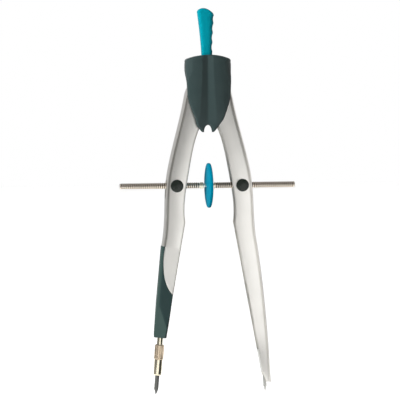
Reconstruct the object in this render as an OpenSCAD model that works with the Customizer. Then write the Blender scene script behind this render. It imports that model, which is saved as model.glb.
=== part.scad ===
// Bow compass: a geared head, two channel legs, a cross screw of two hands with a thumb wheel,
// a lead holder on the left leg and a needle on the right leg.
// X runs along the cross screw, Y from front to back and Z up. The origin lies midway between
// the two tips, on the paper. Each leg is drawn closed, with Z = 0 at its pivot and X = 0 at the
// middle of the compass, and is then swung out.

/* [Stance] */
// Angle that each leg is swung out from its closed position
open_angle = 10.2; // [6:0.1:16]
// Height from the paper to the leg pivots when the legs are closed
tip_drop = 143.9; // [136:0.1:160]
// Distance from each tip to the middle of the compass when the legs are closed
tip_x = 0.3; // [0.2:0.1:1]

/* [Legs] */
// Depth of the leg channel from front to back
leg_depth = 6; // [5.6:0.1:7.5]
// Thickness of the leg sheet
leg_wall = 0.9; // [0.6:0.05:1]
// Distance from the straight inner edge to the middle of the compass, closed
leg_gap = 0.4; // [0.3:0.05:0.8]
// Distance from the outer edge to the middle at the shoulder under the head
shoulder_x = 10.3; // [9.5:0.1:11]
// How far the shoulder lies below the pivot
shoulder_drop = 5; // [3:0.1:7]
// Distance from the outer edge to the middle at the widest place
bow_x = 12.2; // [11.5:0.1:13]
// How far the widest place lies below the pivot
bow_drop = 41.5; // [38:0.1:44]
// Distance from the outer edge to the middle at the waist
waist_x = 9.15; // [8.5:0.1:10]
// How far the waist lies below the pivot
waist_drop = 73; // [70:0.5:76]
// Distance from the outer edge to the middle at the foot
foot_x = 3.6; // [3.4:0.1:4.4]
// Depth of the hollow in the inner edge
hollow_depth = 2.3; // [1.6:0.1:2.6]
// How far the top of the hollow lies below the pivot
hollow_top = 15.5; // [13:0.5:18]
// How far the cusp under the hollow lies below the pivot
hollow_bottom = 62.7; // [60:0.1:66]

/* [Gear] */
// Module of the teeth that link the two legs
gear_module = 0.8; // [0.75:0.01:0.9]
// Teeth of a full circle
gear_teeth = 12; // [11:1:13]
// Angle taken from each tooth for play, in degrees
gear_play = 4; // [3:0.5:6]
// How far the insert reaches down the channel
gear_tail = 15; // [13:0.5:20]
// Radius of the leg pivot pins
pivot_r = 1.5; // [1.2:0.05:1.8]
// Radius of the rivet in each insert
rivet_r = 0.8; // [0.6:0.05:1]
// How far the rivet lies below the pivot
rivet_drop = 7.6; // [7:0.1:9]
// Distance from the rivet to the middle, closed
rivet_x = 5.2; // [4.8:0.1:5.6]

/* [Head] */
// Width of the head
head_w = 20.6; // [19.6:0.1:23]
// Height of the head above the pivots
head_rise = 15.4; // [14.5:0.1:18]
// How far the two points of the head lie below the pivots
head_drop = 20; // [18:0.1:22]
// Radius of the domed top
dome_r = 27; // [20:0.5:40]
// Radius of the two top corners
corner_r = 1.8; // [1:0.1:3]
// Distance from each lower point to the middle
point_x = 2.5; // [2.2:0.1:3]
// Width of the arch between the two points
arch_w = 3.8; // [3:0.1:4.2]
// Height of the arch between the two points
arch_h = 3.3; // [2:0.1:4]
// Distance from the middle to the lower end of each curved side
chin_x = 4.8; // [4.4:0.1:5.2]
// Height of the slanted edge from there down to a point
chin_h = 2.4; // [1.8:0.1:3]
// How much higher the rear cover ends than the front one
rear_lift = 1.5; // [0:0.1:2]
// Thickness of the closed sides over the legs
cheek_wall = 1; // [0.8:0.1:1.2]
// How far above the pivots the closed sides end
cheek_rise = 3.2; // [3.2:0.1:5]
// Thickness of a cover at its crests
crest_wall = 2.8; // [2.4:0.1:3.6]
// Thickness of a cover in the flute down its middle
flute_wall = 2; // [1.9:0.1:2.3]
// Thickness of a cover at its side edges
side_wall = 1.2; // [1:0.1:1.8]
// Half width of the flute
flute_half = 2.4; // [2:0.1:3]
// Thickness of the pivot washers
washer_t = 0.4; // [0.3:0.05:0.6]
// Radius of the pivot washers
washer_r = 3.4; // [2.6:0.1:3.8]
// Depth of a pivot pin's seat in each cover
pin_seat = 1; // [0.6:0.1:1.2]
// Distance from each cover screw to the middle
screw_x = 6.6; // [6.2:0.1:7]
// Height of the cover screws above the pivots
screw_rise = 10.4; // [9.6:0.1:11]
// Radius of a cover screw's shank
screw_r = 0.9; // [0.7:0.05:1.1]
// Radius of a cover screw's head
screw_head_r = 1.7; // [1.5:0.05:1.9]

/* [Handle] */
// Height of the handle above the top of the head
handle_h = 22.2; // [18:0.1:28]
// Width of the handle where it leaves the head
handle_neck_w = 5; // [4.4:0.1:5.6]
// Width of the handle at its top
handle_top_w = 8.5; // [7:0.1:9]
// Depth of the handle where it leaves the head
handle_neck_d = 4.6; // [4:0.1:5.4]
// Depth of the handle at its top
handle_top_d = 5.6; // [5:0.1:7]
// How far the handle stands to the left of the middle
handle_set = 0.35; // [0:0.05:0.5]
// How far the top of the handle leans further to the left
handle_lean = 0.45; // [0:0.05:1]
// Depth of the finger grooves on the handle's right edge
groove_depth = 0.35; // [0.2:0.05:0.7]
// Number of finger ridges
ridge_count = 5; // [3:1:7]
// Where the lowest ridge sits, as a share of the handle's height
ridge_start = 0.06; // [0.02:0.01:0.12]
// Width of the tang inside the head
tang_w = 4.2; // [3.6:0.1:4.4]
// Width of the foot that locks the tang
tang_foot_w = 7; // [5:0.1:7.4]
// Depth of the tang inside the head
tang_d = 3.6; // [3:0.1:4]

/* [Cross screw] */
// Radius of the screw over its threads
spindle_r = 1.25; // [1.1:0.05:1.4]
// Length of the screw
spindle_len = 82.5; // [76:0.1:90]
// How far the screw reaches out further on the left than on the right, halved
spindle_set = 0.6; // [0:0.1:0.8]
// Pitch of the thread
thread_pitch = 1; // [0.8:0.05:1.2]
// Depth of the thread
thread_depth = 0.25; // [0.15:0.01:0.3]
// Distance from each thread's inner end to the middle
thread_start = 4.4; // [4.2:0.1:5.2]
// Radius of the plain neck under the wheel
neck_r = 0.95; // [0.9:0.01:1]
// Distance from the trunnions to the middle, closed
trunnion_x = 7.2; // [7:0.1:7.6]
// How far the trunnions lie below the pivots
trunnion_drop = 46.5; // [44:0.1:49]
// Thickness of the trunnion's wall round the screw
trunnion_wall = 1.05; // [0.8:0.05:1.2]
// Radius of the trunnion's round button
button_r = 2.8; // [2.7:0.05:3.2]
// Thickness of the trunnion's round button
button_t = 1; // [0.8:0.05:1.4]
// Radius of the stub that carries the rear cap
stub_r = 1.2; // [1:0.05:1.5]

/* [Thumb wheel] */
// Radius of the wheel
wheel_r = 10.5; // [9:0.1:11]
// Thickness of the wheel at its hub
wheel_hub_t = 2.4; // [1.8:0.1:3]
// Thickness of the wheel at its rim
wheel_rim_t = 1; // [0.8:0.1:1.6]
// Number of notches round the rim
notch_count = 44; // [30:1:60]
// Depth of a notch
notch_depth = 0.25; // [0.15:0.05:0.4]
// Radius of the boss on each side of the wheel
boss_r = 1.3; // [1.3:0.05:1.5]
// Distance from each boss end to the middle
boss_x = 3.05; // [2.6:0.05:3.2]
// Radius of the plain collars beside the wheel
collar_r = 1.5; // [1.35:0.05:1.6]

/* [Lead arm] */
// How far the top of the arm lies below the pivots
arm_drop = 76; // [74:0.1:82]
// Distance from the arm's outer edge to the middle at its top
arm_top_x = 9.4; // [9.2:0.1:10]
// Distance from the arm's outer edge to the middle at its lower end
arm_foot_x = 6; // [5.4:0.1:6.4]
// How far the arm's foot stands in past the leg's inner edge
arm_toe = 0.6; // [0:0.1:0.8]
// Depth of the arm from front to back
arm_depth = 5.6; // [5:0.1:5.8]
// Length of the core that fills the channel above the arm
arm_core = 8; // [5:0.5:10]
// Height of the curved tongue of the leg over the arm
tongue_h = 20.8; // [18:0.1:24]
// Width of the tongue at its top
tongue_w = 7.9; // [7:0.1:8]
// How far the tongue's curve starts below the arm's top
tongue_start = 1; // [0.5:0.1:2]
// Radius of the arm's lower end
arm_end_r = 3.05; // [2.5:0.05:3.3]
// Widening of the arm's lower end, as an angle
arm_end_flare = 8; // [6:0.5:12]

/* [Lead holder] */
// Tilt of the lead in its leg
lead_tilt = 5.15; // [4:0.05:6]
// Radius of the lead
lead_r = 1; // [0.9:0.05:1.05]
// Length of the lead
lead_len = 24; // [22:0.5:27]
// Length of the sharpened end
lead_cone = 2.6; // [2:0.1:5]
// Length of lead that stands out of the chuck
lead_out = 9; // [7:0.1:10]
// Length of the chuck's smooth sleeve
sleeve_len = 7.4; // [6:0.1:9]
// Wall of the sleeve
sleeve_wall = 0.38; // [0.35:0.01:0.45]
// Chamfer on the nose of the sleeve
nose_chamfer = 0.5; // [0.3:0.05:0.6]
// Length of the knurled collar
knurl_len = 6.9; // [5.6:0.1:8]
// Radius of the knurled collar
knurl_r = 2.2; // [2.15:0.05:2.5]
// Length of shank that shows under the arm
shank_show = 3.2; // [2.5:0.1:5]
// Length of shank inside the arm
shank_seat = 14; // [12:0.5:18]
// Wall of the shank
shank_wall = 0.3; // [0.25:0.01:0.34]
// Length of the split collet
collet_len = 5.2; // [4:0.1:5.5]

/* [Needle] */
// Tilt of the needle in its leg
needle_tilt = 8; // [6:0.1:11]
// Radius of the needle
needle_r = 0.8; // [0.7:0.05:0.9]
// Radius of the thin point
point_r = 0.42; // [0.3:0.01:0.5]
// Length of the thin point with its tip
point_len = 2.4; // [1.8:0.1:3]
// Length of the sharp tip
tip_len = 1.4; // [0.8:0.1:1.6]
// Length of needle inside its holder
needle_seat = 9; // [6:0.5:10]
// Height of the leg's foot above the tips, along the leg
foot_rise = 5; // [4.5:0.1:6]
// Slant of the foot from its inner to its outer side
foot_slant = 0.8; // [0.4:0.1:1.4]
// Height of the slanted cut that bares the needle
notch_h = 4.5; // [3:0.1:5]
// Width of the slanted cut that bares the needle
notch_w = 0.9; // [0.6:0.05:1.2]

/* [Fits] */
// Clearance of running fits, on the radius
run_clear = 0.05; // [0.03:0.01:0.08]
// Clearance of pieces fixed in each other
seat_clear = 0.02; // [0.01:0.01:0.04]
// Room between pieces that only pass each other
pass_clear = 0.3; // [0.2:0.05:0.4]

/* [Hidden] */
$fn = 48;

teal = [0.01, 0.55, 0.64];
dark_green = [0.19, 0.25, 0.25];
silver = [0.85, 0.84, 0.82];
steel = [0.62, 0.60, 0.56];
warm_steel = [0.80, 0.74, 0.65];
brass = [0.72, 0.62, 0.42];
graphite = [0.33, 0.33, 0.32];
ivory = [0.86, 0.84, 0.76];

eps = 0.01;
far = 60;

// Pivots: the pitch circles of the two gears touch in the middle of the compass
pivot_x = gear_module * gear_teeth / 2;
pivot_z = tip_drop * cos(open_angle) + (pivot_x - tip_x) * sin(open_angle);
leg_top_r = pivot_x - leg_gap;
channel_d = leg_depth - 2 * leg_wall;
rivet_lip = 0.4;
channel_reach = 2 * gear_module;

// Head: the covers stand off the legs by a washer and a running clearance
cover_in = leg_depth / 2 + washer_t + run_clear;
crest_y = cover_in + crest_wall;
flute_y = cover_in + flute_wall;
side_y = cover_in + side_wall;
shoulder_reach = norm([shoulder_x - pivot_x, shoulder_drop]);
cap_rise = shoulder_reach + pass_clear;
plate_step = 0.3;
plate_half = head_w / 2 - plate_step;
plate_top = 2.4;
plate_bulge = [plate_half - 0.4, -9];
crown_r = 1.6;
lobe_power = 2.2;
trim = 1;
pin_half = cover_in + pin_seat;
screw_head_t = 1;
screw_sink = 0.5;

// Cross screw: its height follows from the trunnions of the swung legs
trunnion_out = trunnion_x - pivot_x;
trunnion_rest_x = pivot_x + trunnion_out * cos(open_angle) + trunnion_drop * sin(open_angle);
spindle_z = pivot_z + trunnion_out * sin(open_angle) - trunnion_drop * cos(open_angle);
barrel_r = spindle_r + run_clear + trunnion_wall;
button_y = leg_depth / 2 + run_clear;
stub_len = 0.7;
slot_half = spindle_r + pass_clear;
slot_up = 2;
slot_down = 6.8;
neck_relief = 0.2;
neck_half = thread_start - neck_relief;

// Lead holder: places along the lead, measured up from its tip
shank_r = lead_r + run_clear + shank_wall;
sleeve_room = 0.12;
sleeve_bore = shank_r + run_clear + sleeve_room;
sleeve_r = sleeve_bore + sleeve_wall;
sleeve_top = lead_out + sleeve_len;
spigot_len = 2.4;
spigot_step = 0.15;
spigot_r = sleeve_r - spigot_step;
collar_foot = sleeve_top + run_clear;
collar_top = collar_foot + knurl_len;
arm_foot = collar_top + shank_show;
shank_top = arm_foot + shank_seat;
nose_wall = 0.75;
collet_foot = lead_out + nose_wall;
collet_top = collet_foot + collet_len;
lead_room = 8;
shank_bore_top = lead_len + lead_room;

// Needle: places along the needle, measured up from its tip
foot_drop = tip_drop - foot_rise;
notch_drop = foot_drop - notch_h;
holder_len = 11;
holder_drop = notch_drop - holder_len;
needle_top = tip_drop - notch_drop + needle_seat;

function smooth(t) = t * t * (3 - 2 * t);
function blend(a, b, t) = a + (b - a) * t;
function steps(a, b, n) = [for (i = [0 : n]) blend(a, b, i / n)];
function arc(c, rx, rz, a0, a1, n) = [
    for (a = steps(a0, a1, n))
        [c[0] + rx * cos(a), c[1] + rz * sin(a)]
];

// Leg outline: distance of each edge from the middle at a drop below the pivot
hollow_mid = (hollow_top + hollow_bottom) / 2;
hollow_half = (hollow_bottom - hollow_top) / 2;
hollow_power = 3.4;
taper_power = 1.5;
function hollow_share(d) = min(1, abs(d - hollow_mid) / hollow_half);
function inner_x(d) = leg_gap + hollow_depth * (1 - pow(hollow_share(d), hollow_power));
function taper_share(d) = (d - waist_drop) / (foot_drop - waist_drop);
function taper_x(d) = blend(waist_x, foot_x, pow(taper_share(d), taper_power));
function outer_x(d) =
    d < bow_drop ? blend(shoulder_x, bow_x, smooth((d - shoulder_drop) / (bow_drop - shoulder_drop))) :
    d < waist_drop ? blend(bow_x, waist_x, smooth((d - bow_drop) / (waist_drop - bow_drop))) :
    taper_x(min(d, foot_drop));
outer_drops = concat(
    steps(shoulder_drop, bow_drop, 12),
    steps(bow_drop, waist_drop, 12),
    steps(waist_drop, foot_drop, 12)
);
function outer_edge(inset) = [for (d = outer_drops) [outer_x(d) - inset, -d]];
function shoulder_arc(inset) = arc([pivot_x, -shoulder_drop], shoulder_x - inset - pivot_x,
    leg_top_r + shoulder_drop - inset, 90, 0, 10);
function leg_outline() = concat(
    arc([pivot_x, 0], leg_top_r, leg_top_r, 180, 90, 8),
    shoulder_arc(0),
    outer_edge(0),
    [[foot_x, -foot_drop - foot_slant], [leg_gap + notch_w, -foot_drop]],
    [[leg_gap, -notch_drop]],
    [for (d = steps(hollow_bottom, hollow_top, 24)) [inner_x(d), -d]]
);
// Outline of the channel inside the sheet, open at the gear and on the inner side
function channel_outline(clear) = concat(
    [[-channel_reach, leg_top_r + channel_reach], [pivot_x - clear, leg_top_r + channel_reach]],
    shoulder_arc(leg_wall + clear),
    outer_edge(leg_wall + clear),
    [[foot_x - leg_wall - clear, -tip_drop], [-channel_reach, -tip_drop]]
);

// Gear outline: involute flanks on a base circle inside the pitch circle
pressure_angle = 20;
addendum_share = 0.75;
dedendum_share = 1.05;
addendum = addendum_share * gear_module;
dedendum = dedendum_share * gear_module;
base_r = pivot_x * cos(pressure_angle);
gear_root_r = pivot_x - dedendum;
function involute(r) = r <= base_r ? 0 : sqrt(r * r / base_r / base_r - 1) * 180 / PI - acos(base_r / r);
tooth_half = 90 / gear_teeth + involute(pivot_x) - gear_play / 4;
function flank(a, side) = [
    for (i = [0 : 5])
        let (k = side > 0 ? 5 - i : i, r = blend(gear_root_r, pivot_x + addendum, k / 5))
        let (w = a + side * (tooth_half - involute(r)))
        [pivot_x + r * cos(w), r * sin(w)]
];

module swung_right() {
    translate([pivot_x, 0, pivot_z])
        rotate([0, -open_angle, 0])
            translate([-pivot_x, 0, 0])
                children();
}
module swung_left() {
    mirror([1, 0, 0])
        swung_right()
            children();
}
// An outline in X and Z, given a depth about the middle of Y
module slab(depth) {
    rotate([90, 0, 0])
        linear_extrude(height = depth, center = true)
            children();
}
// A round piece along Y, from one depth to another
module along_y(y0, y1, r) {
    translate([0, y0, 0])
        rotate([-90, 0, 0])
            cylinder(h = y1 - y0, r = r);
}
// A round piece along X, from one side to the other
module along_x(x0, x1, r) {
    translate([x0, 0, 0])
        rotate([0, 90, 0])
            cylinder(h = x1 - x0, r = r);
}
// What fits in the channel, inside the sheet
module in_channel() {
    intersection() {
        slab(channel_d) polygon(channel_outline(seat_clear));
        children();
    }
}
// An upright block about the middle of Y, between two drops
module block(x0, x1, top, bottom, depth) {
    translate([x0, -depth / 2, -bottom])
        cube([x1 - x0, depth, bottom - top]);
}
// Frames of the lead and of the needle, with Z up along them from the tip
module on_lead() {
    translate([tip_x, 0, -tip_drop])
        rotate([0, lead_tilt, 0])
            children();
}
module on_needle() {
    translate([tip_x, 0, -tip_drop])
        rotate([0, needle_tilt, 0])
            children();
}
module tube(z0, z1, outer, inner) {
    translate([0, 0, z0])
        difference() {
            cylinder(h = z1 - z0, r = outer);
            translate([0, 0, -eps])
                cylinder(h = z1 - z0 + 2 * eps, r = inner);
        }
}

// Head
function dome_z(x) = head_rise - dome_r + sqrt(dome_r * dome_r - x * x);
dome_end = head_w / 2 - corner_r;
function bezier(a, b, c, n) = [
    for (t = steps(0, 1, n))
        a * (1 - t) * (1 - t) + b * 2 * t * (1 - t) + c * t * t
];
function half_head(drop) = concat(
    [for (x = steps(0, dome_end, 8)) [x, dome_z(x)]],
    arc([dome_end, dome_z(dome_end) - corner_r], corner_r, corner_r, 60, 0, 4),
    [[head_w / 2, plate_top]],
    bezier([plate_half, -trim], plate_bulge, [chin_x, chin_h - drop], 8),
    [[point_x, -drop]]
);
function arch_curve(drop) = arc([0, -drop], arch_w / 2, arch_h, 0, 180, 10);
function mirrored(points) = [for (i = [len(points) - 1 : -1 : 1]) [-points[i][0], points[i][1]]];
function lobe_share(x) = (abs(x) - flute_half) / (head_w / 2 - flute_half);
function cover_y(x) =
    abs(x) < flute_half ? blend(flute_y, crest_y, smooth(abs(x) / flute_half)) :
    blend(crest_y, side_y, pow(lobe_share(x), lobe_power));
thinning_drop = 10;
crown_y = crest_y - crown_r;
module head_outline(drop) {
    polygon(concat(half_head(drop), arch_curve(drop), mirrored(half_head(drop))));
}
// Plan of a cover's outer face, drawn towards the front
module cover_plan() {
    polygon(concat(
        [[head_w / 2, 0]],
        [for (x = steps(head_w / 2, flute_half, 8)) [x, -cover_y(x)]],
        [for (x = steps(flute_half, -flute_half, 8)) [x, -cover_y(x)]],
        [for (x = steps(-flute_half, -head_w / 2, 8)) [x, -cover_y(x)]],
        [[-head_w / 2, 0]]
    ));
}
// Side view of a cover: rounded over at its top and thinner towards its points
module cover_side() {
    polygon(concat(
        [[0, head_rise + trim], [-crown_y, head_rise + trim]],
        arc([-crown_y, head_rise - crown_r], crown_r, crown_r, 90, 180, 6),
        [[-crest_y, -thinning_drop], [-flute_y, -head_drop - trim], [0, -head_drop - trim]]
    ));
}
module tang(clear) {
    translate([-tang_w / 2 - clear, -tang_d / 2 - clear, tang_foot_top - eps])
        cube([tang_w + 2 * clear, tang_d + 2 * clear, tang_top + tang_lap - tang_foot_top]);
    translate([-tang_foot_w / 2 - clear, -tang_d / 2 - clear, tang_foot_z - clear])
        cube([tang_foot_w + 2 * clear, tang_d + 2 * clear, tang_foot_top - tang_foot_z + 2 * clear]);
}
tang_floor = 0.8;
tang_foot_h = 2;
tang_cover = 1.4;
tang_lap = 0.4;
tang_foot_z = cap_rise + tang_floor;
tang_foot_top = tang_foot_z + tang_foot_h;
tang_top = dome_z(tang_w / 2) - tang_cover;
// The front half of the head, before the fittings are cut in it
module cover_blank(drop) {
    difference() {
        intersection() {
            slab(2 * far) head_outline(drop);
            translate([0, 0, -far]) linear_extrude(height = 2 * far) cover_plan();
            rotate([90, 0, 90]) linear_extrude(height = 2 * far, center = true) cover_side();
        }
        translate([-far, -cover_in, -far])
            cube([2 * far, far, far + cheek_rise]);
        translate([cheek_wall - head_w / 2, -cover_in, -far])
            cube([head_w - 2 * cheek_wall, far, far + cap_rise]);
        for (side = [-1, 1])
            translate([side * pivot_x, 0, 0])
                along_y(-pin_half - seat_clear, 0, pivot_r + seat_clear);
        tang(seat_clear);
        handle_solid(seat_clear);
    }
}
module head_front_cover() {
    color(dark_green)
        translate([0, 0, pivot_z])
            difference() {
                cover_blank(head_drop);
                for (side = [-1, 1])
                    translate([side * screw_x, 0, screw_rise])
                        along_y(-cover_in - seat_clear, eps, screw_r + seat_clear);
            }
}
module head_rear_cover() {
    color(dark_green)
        translate([0, 0, pivot_z])
            difference() {
                mirror([0, 1, 0]) cover_blank(head_drop - rear_lift);
                for (side = [-1, 1])
                    translate([side * screw_x, 0, screw_rise]) {
                        along_y(-eps, far, screw_r + seat_clear);
                        along_y(screw_seat, far, screw_head_r + seat_clear);
                    }
            }
}
screw_seat = cover_y(screw_x + screw_head_r) - screw_head_t - screw_sink;
module cover_screws() {
    color(steel)
        for (side = [-1, 1])
            translate([side * screw_x, 0, pivot_z + screw_rise])
                difference() {
                    union() {
                        along_y(-cover_in, screw_seat + eps, screw_r);
                        along_y(screw_seat, screw_seat + screw_head_t, screw_head_r);
                    }
                    for (turn = [0, 90])
                        rotate([0, turn, 0])
                            translate([-screw_r, screw_seat + screw_head_t / 2, -screw_head_t / 4])
                                cube([2 * screw_r, screw_head_t, screw_head_t / 2]);
                }
}

// Handle: sections that widen and lean to the left, with finger grooves on the right
handle_foot = tang_top;
handle_crown = head_rise + handle_h;
handle_bare = dome_z(0);
handle_rings = 36;
handle_sides = 20;
crown_h = 3;
crown_flat = 0.02;
crown_power = 2.2;
corner_power = 0.7;
flare_power = 1.5;
function handle_rise(z) = max(0, (z - handle_bare) / handle_h);
function handle_crown_share(z) = max(0, (z - handle_crown + crown_h) / crown_h);
function handle_shrink(z) = sqrt(max(crown_flat, 1 - pow(handle_crown_share(z), crown_power)));
function bulge(v) = sign(v) * pow(abs(v), corner_power);
function handle_flare(z) = pow(handle_rise(z), flare_power);
function handle_w(z) = blend(handle_neck_w, handle_top_w, handle_flare(z));
function handle_d(z) = blend(handle_neck_d, handle_top_d, handle_flare(z));
function handle_x(z) = -handle_set - handle_lean * handle_rise(z);
function ridge_wave(z) = (1 - cos(360 * ridge_count * (handle_rise(z) - ridge_start))) / 2;
function groove(z) =
    groove_depth * ridge_wave(z) * min(1, handle_rise(z) / ridge_start) * (1 - handle_crown_share(z));
function handle_ring(z, clear) = [
    for (i = [0 : handle_sides - 1])
        let (a = 360 * i / handle_sides, s = handle_shrink(z), right = max(0, cos(a)))
        let (x = (handle_w(z) / 2 + clear) * s * bulge(cos(a)))
        let (y = (handle_d(z) / 2 + clear) * s * bulge(sin(a)))
        [x + handle_x(z) - groove(z) * right, y, z]
];
module handle_solid(clear) {
    n = handle_sides;
    rings = [for (z = steps(handle_foot - clear, handle_crown, handle_rings)) handle_ring(z, clear)];
    points = [for (ring = rings) each ring];
    walls = [
        for (k = [0 : handle_rings - 1], i = [0 : n - 1])
            let (a = k * n + i, b = k * n + (i + 1) % n)
            each [[a, a + n, b], [b, a + n, b + n]]
    ];
    last = handle_rings * n;
    caps = [for (i = [1 : n - 2]) each [[0, i, i + 1], [last, last + i + 1, last + i]]];
    polyhedron(points, concat(walls, caps), convexity = 6);
}
module handle() {
    color(teal)
        translate([0, 0, pivot_z])
            union() {
                handle_solid(0);
                tang(0);
            }
}

// Pivots
module pivot_pin(side) {
    color(steel)
        translate([side * pivot_x, 0, pivot_z])
            along_y(-pin_half, pin_half, pivot_r);
}
module pivot_washers() {
    color(ivory)
        for (side = [-1, 1], face = [-1, 1])
            translate([side * pivot_x, face * (cover_in - washer_t / 2), pivot_z])
                rotate([90, 0, 0])
                    tube(-washer_t / 2, washer_t / 2, washer_r, pivot_r + run_clear);
}

// Legs
module leg_channel() {
    difference() {
        slab(leg_depth) polygon(leg_outline());
        slab(channel_d) polygon(channel_outline(0));
        translate([pivot_x, 0, 0]) along_y(-far, far, pivot_r + run_clear);
        translate([rivet_x, 0, -rivet_drop]) along_y(-far, far, rivet_r + seat_clear);
        translate([trunnion_x, 0, -trunnion_drop]) {
            along_y(-far, far, barrel_r + run_clear);
            screw_slot();
        }
    }
}
// Slot in the outer wall, which the screw tips through as the leg swings
module screw_slot() {
    translate([0, -slot_half, -slot_down + slot_half])
        cube([far, 2 * slot_half, slot_up + slot_down - 2 * slot_half]);
    for (z = [slot_up - slot_half, slot_half - slot_down])
        translate([0, 0, z])
            along_x(0, far, slot_half);
}
// Curved lower edge of the left leg's cheeks
tongue_mid_x = -3;
tongue_mid = [tongue_mid_x, -arm_drop - tongue_start];
tongue_curve = arc(tongue_mid, tongue_w - tongue_mid_x, tongue_h, 0, -90, 16);
module tongue(clear) {
    polygon(concat(
        [[tongue_mid_x, -arm_drop + clear], [tongue_w + clear, -arm_drop + clear]],
        [for (p = tongue_curve) [p[0] + clear, p[1] - clear]]
    ));
}
module left_leg() {
    color(silver)
        swung_left()
            difference() {
                leg_channel();
                difference() {
                    translate([-far, -far, -tip_drop - eps])
                        cube([2 * far, 2 * far, tip_drop - arm_drop + eps]);
                    slab(3 * far) tongue(0);
                }
            }
}
module right_leg() {
    color(silver)
        swung_right()
            leg_channel();
}

// Gear inserts, which fill the tops of the channels
module gear_sector(phase) {
    pitch = 360 / gear_teeth;
    teeth = [for (k = [0 : 4]) 180 + pitch * (1.5 - k) - phase * pitch / 2];
    difference() {
        in_channel()
            union() {
                translate([pivot_x, 0, 0]) along_y(-channel_d / 2, channel_d / 2, gear_root_r + eps);
                for (a = teeth)
                    slab(channel_d) polygon(concat(flank(a, -1), flank(a, 1)));
                slab(channel_d)
                    polygon([
                        [pivot_x, 0],
                        [bow_x, 0],
                        [bow_x, -gear_tail],
                        [inner_x(gear_tail) + pass_clear, -gear_tail],
                        [inner_x(shoulder_drop) + gear_module, -shoulder_drop]
                    ]);
            }
        translate([pivot_x, 0, 0]) along_y(-far, far, pivot_r + run_clear);
        translate([rivet_x, 0, -rivet_drop]) along_y(-far, far, rivet_r + seat_clear);
    }
}
module left_gear_sector() {
    color(ivory)
        swung_left()
            gear_sector(1);
}
module right_gear_sector() {
    color(ivory)
        swung_right()
            gear_sector(0);
}
module gear_rivet() {
    color(steel)
        translate([rivet_x, 0, -rivet_drop]) {
            along_y(-leg_depth / 2 - eps, leg_depth / 2 + eps, rivet_r);
            for (face = [0, 1])
                mirror([0, face, 0])
                    along_y(leg_depth / 2, cover_in - washer_t / 2, rivet_r + rivet_lip);
        }
}

// Trunnions
module dome_button(thick) {
    rotate_extrude()
        polygon(concat(
            [[0, 0], [button_r, 0]],
            arc([0, thick / 2], button_r, thick / 2, 0, 90, 6)
        ));
}
module trunnion() {
    difference() {
        union() {
            translate([0, -button_y, 0]) rotate([90, 0, 0]) dome_button(button_t);
            along_y(-button_y - eps, button_y, barrel_r);
            along_y(button_y - eps, button_y + stub_len, stub_r);
        }
        along_x(-far, far, spindle_r + run_clear);
    }
}
module trunnion_cap() {
    difference() {
        translate([0, button_y, 0]) rotate([-90, 0, 0]) dome_button(button_t);
        along_y(0, button_y + stub_len + seat_clear, stub_r + seat_clear);
    }
}
module at_trunnion(side) {
    color(dark_green)
        translate([side * trunnion_rest_x, 0, spindle_z])
            children();
}

// Cross screw: rings of thread on each half and a plain neck for the wheel
spindle_left = spindle_len / 2 + spindle_set;
spindle_right = spindle_len / 2 - spindle_set;
function thread_turns(reach) = floor((reach - thread_start - thread_pitch) / thread_pitch);
function thread_end(reach) = thread_start + thread_turns(reach) * thread_pitch;
function thread_rings(reach) = [
    for (k = [0 : thread_turns(reach) - 1])
        let (x = thread_start + k * thread_pitch)
        each [[spindle_r - thread_depth, x], [spindle_r, x + thread_pitch / 2]]
];
function half_spindle(reach) = concat(
    [[neck_r, neck_half]],
    thread_rings(reach),
    [[spindle_r - thread_depth, thread_end(reach)], [spindle_r, thread_end(reach) + thread_depth]],
    [[spindle_r, reach - thread_depth], [spindle_r - thread_depth, reach]]
);
module spindle() {
    color(warm_steel)
        translate([0, 0, spindle_z])
            rotate([0, 90, 0])
                rotate_extrude()
                    polygon(concat(
                        [[0, -spindle_left]],
                        flipped(half_spindle(spindle_left)),
                        half_spindle(spindle_right),
                        [[0, spindle_right]]
                    ));
}
function wheel_share(r) = sqrt(max(0, 1 - pow(r / wheel_r, 2)));
function wheel_half_t(r) = blend(wheel_rim_t, wheel_hub_t, wheel_share(r)) / 2;
wheel_face = [for (r = steps(boss_r, wheel_r, 10)) [r, wheel_half_t(r)]];
function flipped(points) = [for (i = [len(points) - 1 : -1 : 0]) [points[i][0], -points[i][1]]];
module thumb_wheel() {
    color(teal)
        translate([0, 0, spindle_z])
            rotate([0, 90, 0])
                difference() {
                    rotate_extrude()
                        polygon(concat(
                            [[neck_r + seat_clear, boss_x], [boss_r, boss_x]],
                            wheel_face,
                            flipped(wheel_face),
                            [[boss_r, -boss_x], [neck_r + seat_clear, -boss_x]]
                        ));
                    for (k = [0 : notch_count - 1])
                        rotate(360 * k / notch_count)
                            translate([wheel_r + notch_depth, 0, 0])
                                cylinder(h = 2 * wheel_rim_t, r = 2 * notch_depth, center = true);
                }
}
module spindle_collars() {
    color(warm_steel)
        for (side = [-1, 1])
            translate([0, 0, spindle_z])
                rotate([0, side * 90, 0])
                    tube(boss_x + run_clear, neck_half - run_clear, collar_r, neck_r + run_clear);
}

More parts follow.
